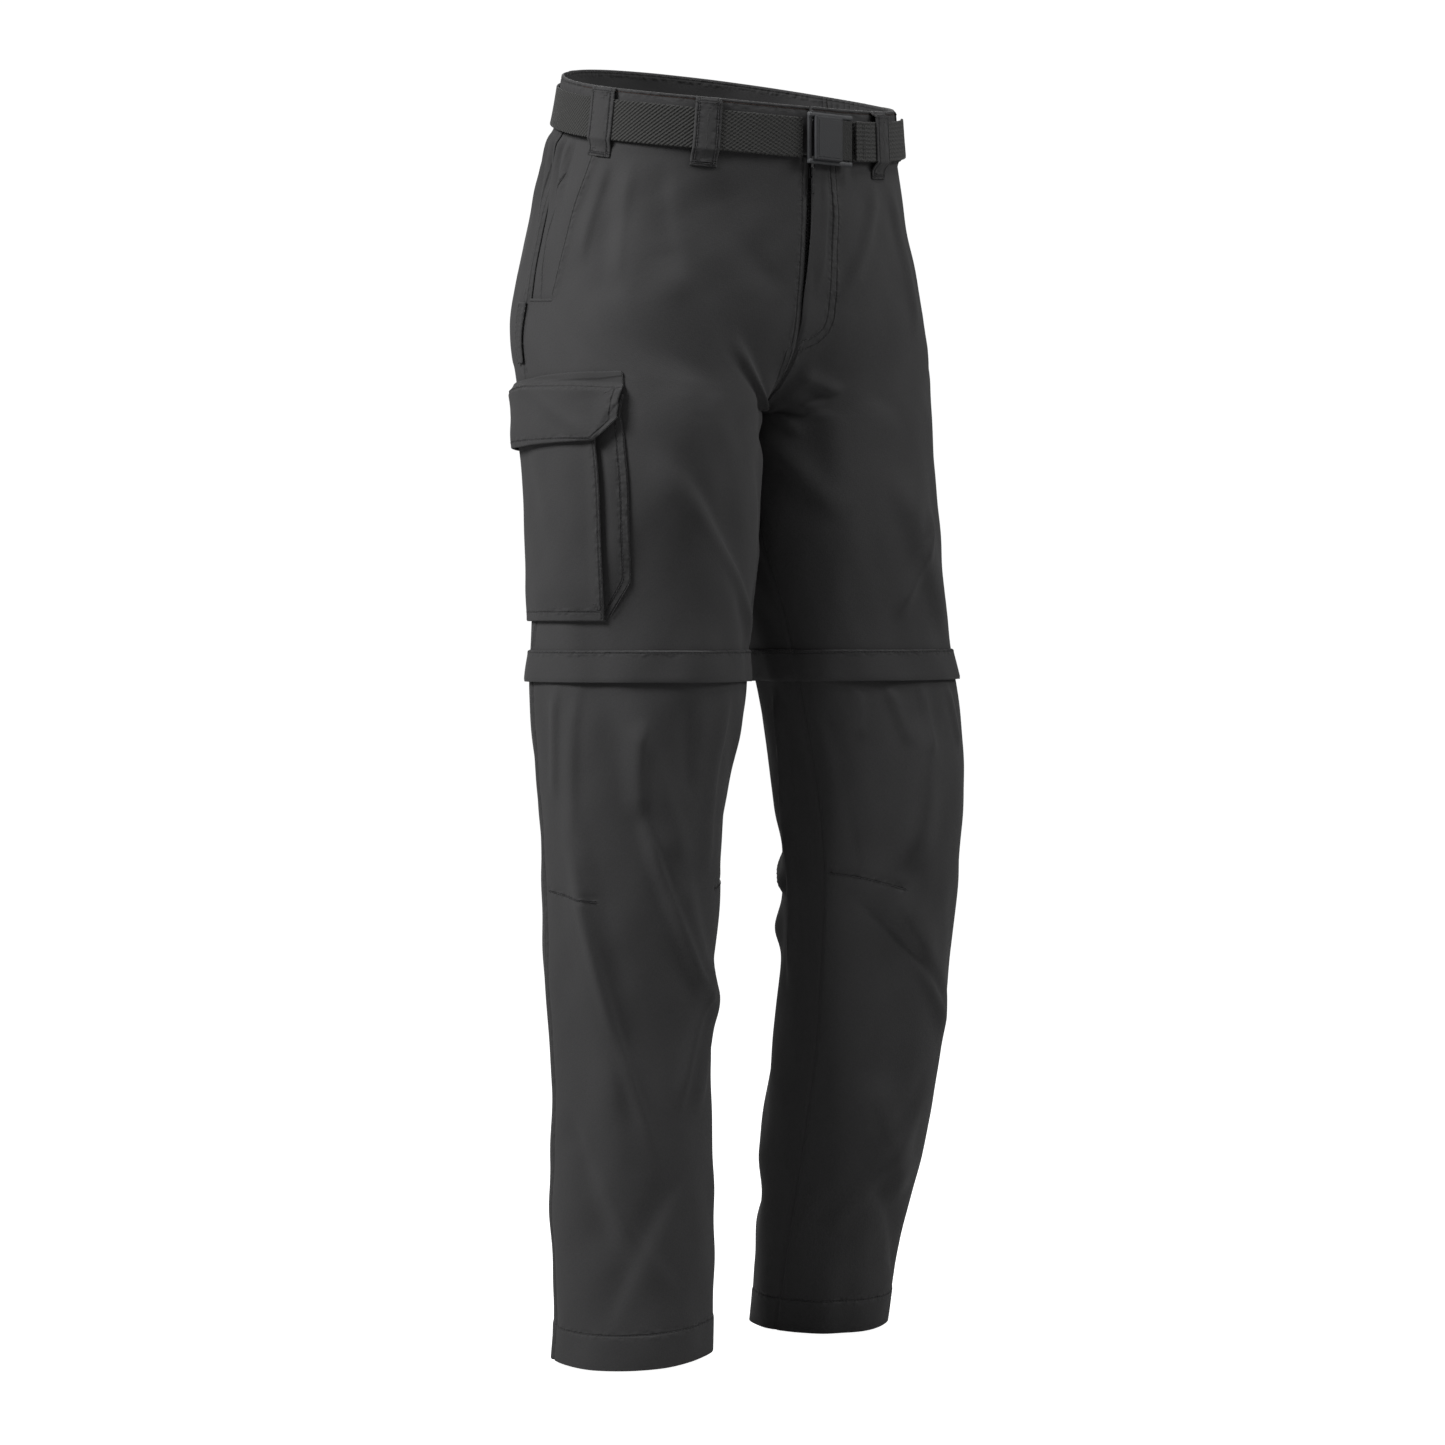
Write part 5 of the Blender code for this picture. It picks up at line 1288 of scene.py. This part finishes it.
def webbing_group():
    """Coarse webbing: a broken twill of thick yarns, or rows of cross ribs."""
    tree, given, made = new_group("webbing yarns", (
        ("Colour", "INPUT", "Color", (0.03, 0.03, 0.03, 1)), ("Along", "INPUT", "Float", 300.0),
        ("Across", "INPUT", "Float", 420.0), ("Ribbed", "INPUT", "Float", 0.0),
        ("Base Color", "OUTPUT", "Color", None), ("Height", "OUTPUT", "Float", None),
    ))
    place = add_node(tree.nodes, "ShaderNodeUVMap", uv_map="cloth")
    parts = tree.nodes.new("ShaderNodeSeparateXYZ")
    tree.links.new(place.outputs[0], parts.inputs[0])
    turns = 2 * math.pi
    along, across = (
        arithmetic(tree, "MULTIPLY", arithmetic(tree, "MULTIPLY", parts.outputs[k], given[count]), turns)
        for k, count in enumerate(("Along", "Across"))
    )
    twill = arithmetic(tree, "SINE", arithmetic(tree, "ADD", along, across))
    half_along = arithmetic(tree, "MULTIPLY", along, 0.5)
    counter = arithmetic(tree, "SINE", arithmetic(tree, "SUBTRACT", across, half_along))
    basket = arithmetic(tree, "ADD", twill, arithmetic(tree, "MULTIPLY", counter, 0.6))
    ribs = arithmetic(tree, "SINE", across)
    plain = arithmetic(tree, "SUBTRACT", 1.0, given["Ribbed"])
    yarns = arithmetic(tree, "ADD", arithmetic(tree, "MULTIPLY", basket, plain),
                       arithmetic(tree, "MULTIPLY", ribs, given["Ribbed"]))
    fuzz = stretched(tree, 900.0, 900.0, 2.0)
    tree.links.new(arithmetic(tree, "MULTIPLY_ADD", fuzz, 0.8, arithmetic(tree, "MULTIPLY", yarns, 0.35)),
                   made["Height"])
    tone = arithmetic(tree, "MULTIPLY_ADD", yarns, 0.20, 0.80)
    tone = arithmetic(tree, "ADD", tone, arithmetic(tree, "MULTIPLY", fuzz, 0.40))
    tree.links.new(tinted(tree, given["Colour"], tone), made["Base Color"])
    return tree


def grain_group():
    """Fine grain of moulded plastic, painted metal or thread, on the object's own coordinates."""
    tree, given, made = new_group("fine grain", (
        ("Colour", "INPUT", "Color", (0.03, 0.03, 0.03, 1)), ("Grain", "INPUT", "Float", 1200.0),
        ("Base Color", "OUTPUT", "Color", None), ("Roughness", "OUTPUT", "Float", None),
        ("Height", "OUTPUT", "Float", None),
    ))
    place = tree.nodes.new("ShaderNodeTexCoord")
    noise = tree.nodes.new("ShaderNodeTexNoise")
    tree.links.new(place.outputs["Object"], noise.inputs["Vector"])
    tree.links.new(given["Grain"], noise.inputs["Scale"])
    tree.links.new(noise.outputs[0], made["Height"])
    tone = arithmetic(tree, "MULTIPLY_ADD", noise.outputs[0], 0.3, 0.85)
    tree.links.new(tinted(tree, given["Colour"], tone), made["Base Color"])
    tree.links.new(arithmetic(tree, "MULTIPLY_ADD", noise.outputs[0], 0.2, 0.42), made["Roughness"])
    return tree


def make_finish(name, group, colour, inputs=(), roughness=None, sheen=0.0, bump=0.001, strength=1.0):
    """A material: one of the groups above into the shader's colour, roughness and bump."""
    made = bpy.data.materials.new(name)
    made.use_nodes = True
    nodes, links = made.node_tree.nodes, made.node_tree.links
    shader = nodes["Principled BSDF"]
    effect = add_node(nodes, "ShaderNodeGroup", node_tree=group)
    effect.inputs["Colour"].default_value = (*colour, 1.0)
    for socket, value in inputs:
        effect.inputs[socket].default_value = value
    links.new(effect.outputs["Base Color"], shader.inputs["Base Color"])
    if roughness is None:
        links.new(effect.outputs["Roughness"], shader.inputs["Roughness"])
    else:
        shader.inputs["Roughness"].default_value = roughness
    shader.inputs["Sheen Weight"].default_value = sheen
    shader.inputs["Sheen Roughness"].default_value = 0.5
    shader.inputs["Specular IOR Level"].default_value = 0.35
    relief = nodes.new("ShaderNodeBump")
    relief.inputs["Strength"].default_value = strength
    relief.inputs["Distance"].default_value = bump
    links.new(effect.outputs["Height"], relief.inputs["Height"])
    links.new(relief.outputs[0], shader.inputs["Normal"])
    finishes[name] = made
    return made


def make_finishes():
    cloth, webbing, grain = cloth_group(), webbing_group(), grain_group()
    make_finish("cloth", cloth, (0.044, 0.0435, 0.0445), sheen=0.06)
    make_finish("pocket_cloth", cloth, (0.042, 0.0415, 0.0425), sheen=0.06)
    make_finish("thread", grain, (0.046, 0.045, 0.047), roughness=0.7, bump=0.0002)
    make_finish("brown_thread", grain, (0.060, 0.038, 0.032), roughness=0.7, bump=0.0002)
    make_finish("webbing", webbing, (0.034, 0.034, 0.0325), (("Along", 330.0), ("Across", 300.0)),
                0.8, 0.1, 0.0009)
    make_finish("tail_webbing", webbing, (0.036, 0.036, 0.0345), (("Across", 290.0), ("Ribbed", 0.75)),
                0.8, 0.1, 0.0009)
    make_finish("belt_fold", grain, (0.030, 0.030, 0.029), (("Grain", 700.0),), 0.85, 0.1, 0.0008)
    make_finish("zip_tape", webbing, (0.012, 0.012, 0.013), (("Along", 700.0), ("Across", 700.0)),
                0.85, 0.0, 0.0003)
    make_finish("buckle", grain, (0.034, 0.035, 0.038), bump=0.0001)
    make_finish("buckle_rail", grain, (0.070, 0.072, 0.076), bump=0.0001)
    make_finish("zip_metal", grain, (0.016, 0.016, 0.017), bump=0.0001)


# Camera, light and floor

def area_light(name, place, aim, size, power, colour=(1.0, 1.0, 1.0)):
    data = bpy.data.lights.new(name, "AREA")
    data.shape, data.size, data.size_y = "RECTANGLE", *size
    data.energy, data.color = power, colour
    lamp = bpy.data.objects.new(name, data)
    bpy.context.scene.collection.objects.link(lamp)
    lamp.location = place
    lamp.rotation_euler = (Vector(aim) - Vector(place)).to_track_quat("-Z", "Y").to_euler()
    return lamp


def light_and_camera():
    bpy.context.scene.view_settings.view_transform = "Standard"
    data = bpy.data.cameras.new("camera")
    data.lens, data.sensor_width = 110.0, 36.0
    data.shift_x, data.shift_y = -11.5 / 1445, -105.5 / 1445
    camera = bpy.data.objects.new("camera", data)
    camera.matrix_world = Matrix.Translation((-2.278, -2.916, -0.4145)) @ (
        Vector((0.616, 0.788, 0.0)).to_track_quat("-Z", "Y").to_matrix().to_4x4())
    bpy.context.scene.collection.objects.link(camera)
    bpy.context.scene.camera = camera

    middle = (0.0, 0.0, -0.45)
    area_light("key", (-2.3, 0.15, 1.3), (0.0, 0.0, -0.2), (1.0, 1.0), 78.0)
    area_light("front_fill", (2.3, -1.9, 1.4), middle, (1.2, 1.2), 37.0)
    area_light("back_rim", (1.0, 1.9, 1.5), (0.0, 0.0, -0.2), (1.2, 1.2), 26.0)
    area_light("top", (0.1, -0.9, 1.5), (0.0, 0.1, 0.0), (0.5, 0.5), 8.0)

    world = bpy.data.worlds.new("studio")
    bpy.context.scene.world = world
    world.use_nodes = True
    nodes, links = world.node_tree.nodes, world.node_tree.links
    nodes.clear()
    path = nodes.new("ShaderNodeLightPath")
    dim, white = nodes.new("ShaderNodeBackground"), nodes.new("ShaderNodeBackground")
    dim.inputs["Color"].default_value, dim.inputs["Strength"].default_value = (1, 1, 1, 1), 0.075
    white.inputs["Color"].default_value, white.inputs["Strength"].default_value = (1, 1, 1, 1), 1.02
    mix, out = nodes.new("ShaderNodeMixShader"), nodes.new("ShaderNodeOutputWorld")
    links.new(path.outputs["Is Camera Ray"], mix.inputs[0])
    links.new(dim.outputs[0], mix.inputs[1])
    links.new(white.outputs[0], mix.inputs[2])
    links.new(mix.outputs[0], out.inputs["Surface"])

    bm = bmesh.new()
    bmesh.ops.create_grid(bm, x_segments=1, y_segments=1, size=6.0)
    mesh = bpy.data.meshes.new("floor")
    bm.to_mesh(mesh)
    bm.free()
    floor = bpy.data.objects.new("floor", mesh)
    bpy.context.scene.collection.objects.link(floor)
    floor.location.z = cad_box[0][2] - 0.012
    pale = bpy.data.materials.new("pale floor")
    pale.use_nodes = True
    nodes, links = pale.node_tree.nodes, pale.node_tree.links
    shader = nodes["Principled BSDF"]
    shader.inputs["Base Color"].default_value = (0.5, 0.5, 0.5, 1)
    shader.inputs["Roughness"].default_value = 0.95
    shader.inputs["Emission Color"].default_value = (1, 1, 1, 1)
    links.new(nodes.new("ShaderNodeLightPath").outputs["Is Camera Ray"], shader.inputs["Emission Strength"])
    mesh.materials.append(pale)


def finish_shown_nodes():
    """The knee zips stay as they are in the frame, with the zip_metal finish on the object's coordinates."""
    for side in (RIGHT, LEFT):
        for thing in bpy.data.objects:
            if thing.name.startswith("knee_zip_" + side_name(side)) and thing.type == "MESH":
                thing.data.materials.clear()
                thing.data.materials.append(finishes["zip_metal"])


def dress():
    make_finishes()
    for side in (RIGHT, LEFT):
        build_upper_legs(side)
        build_zip_covers(side)
        build_shins(side)
        build_pocket_facing(side)
    build_zip_pocket()
    build_cargo_pocket()
    build_waistband()
    build_belt()
    build_loops()
    build_buckle()
    build_fly_zip()
    make_threads()
    finish_shown_nodes()
    light_and_camera()


dress()
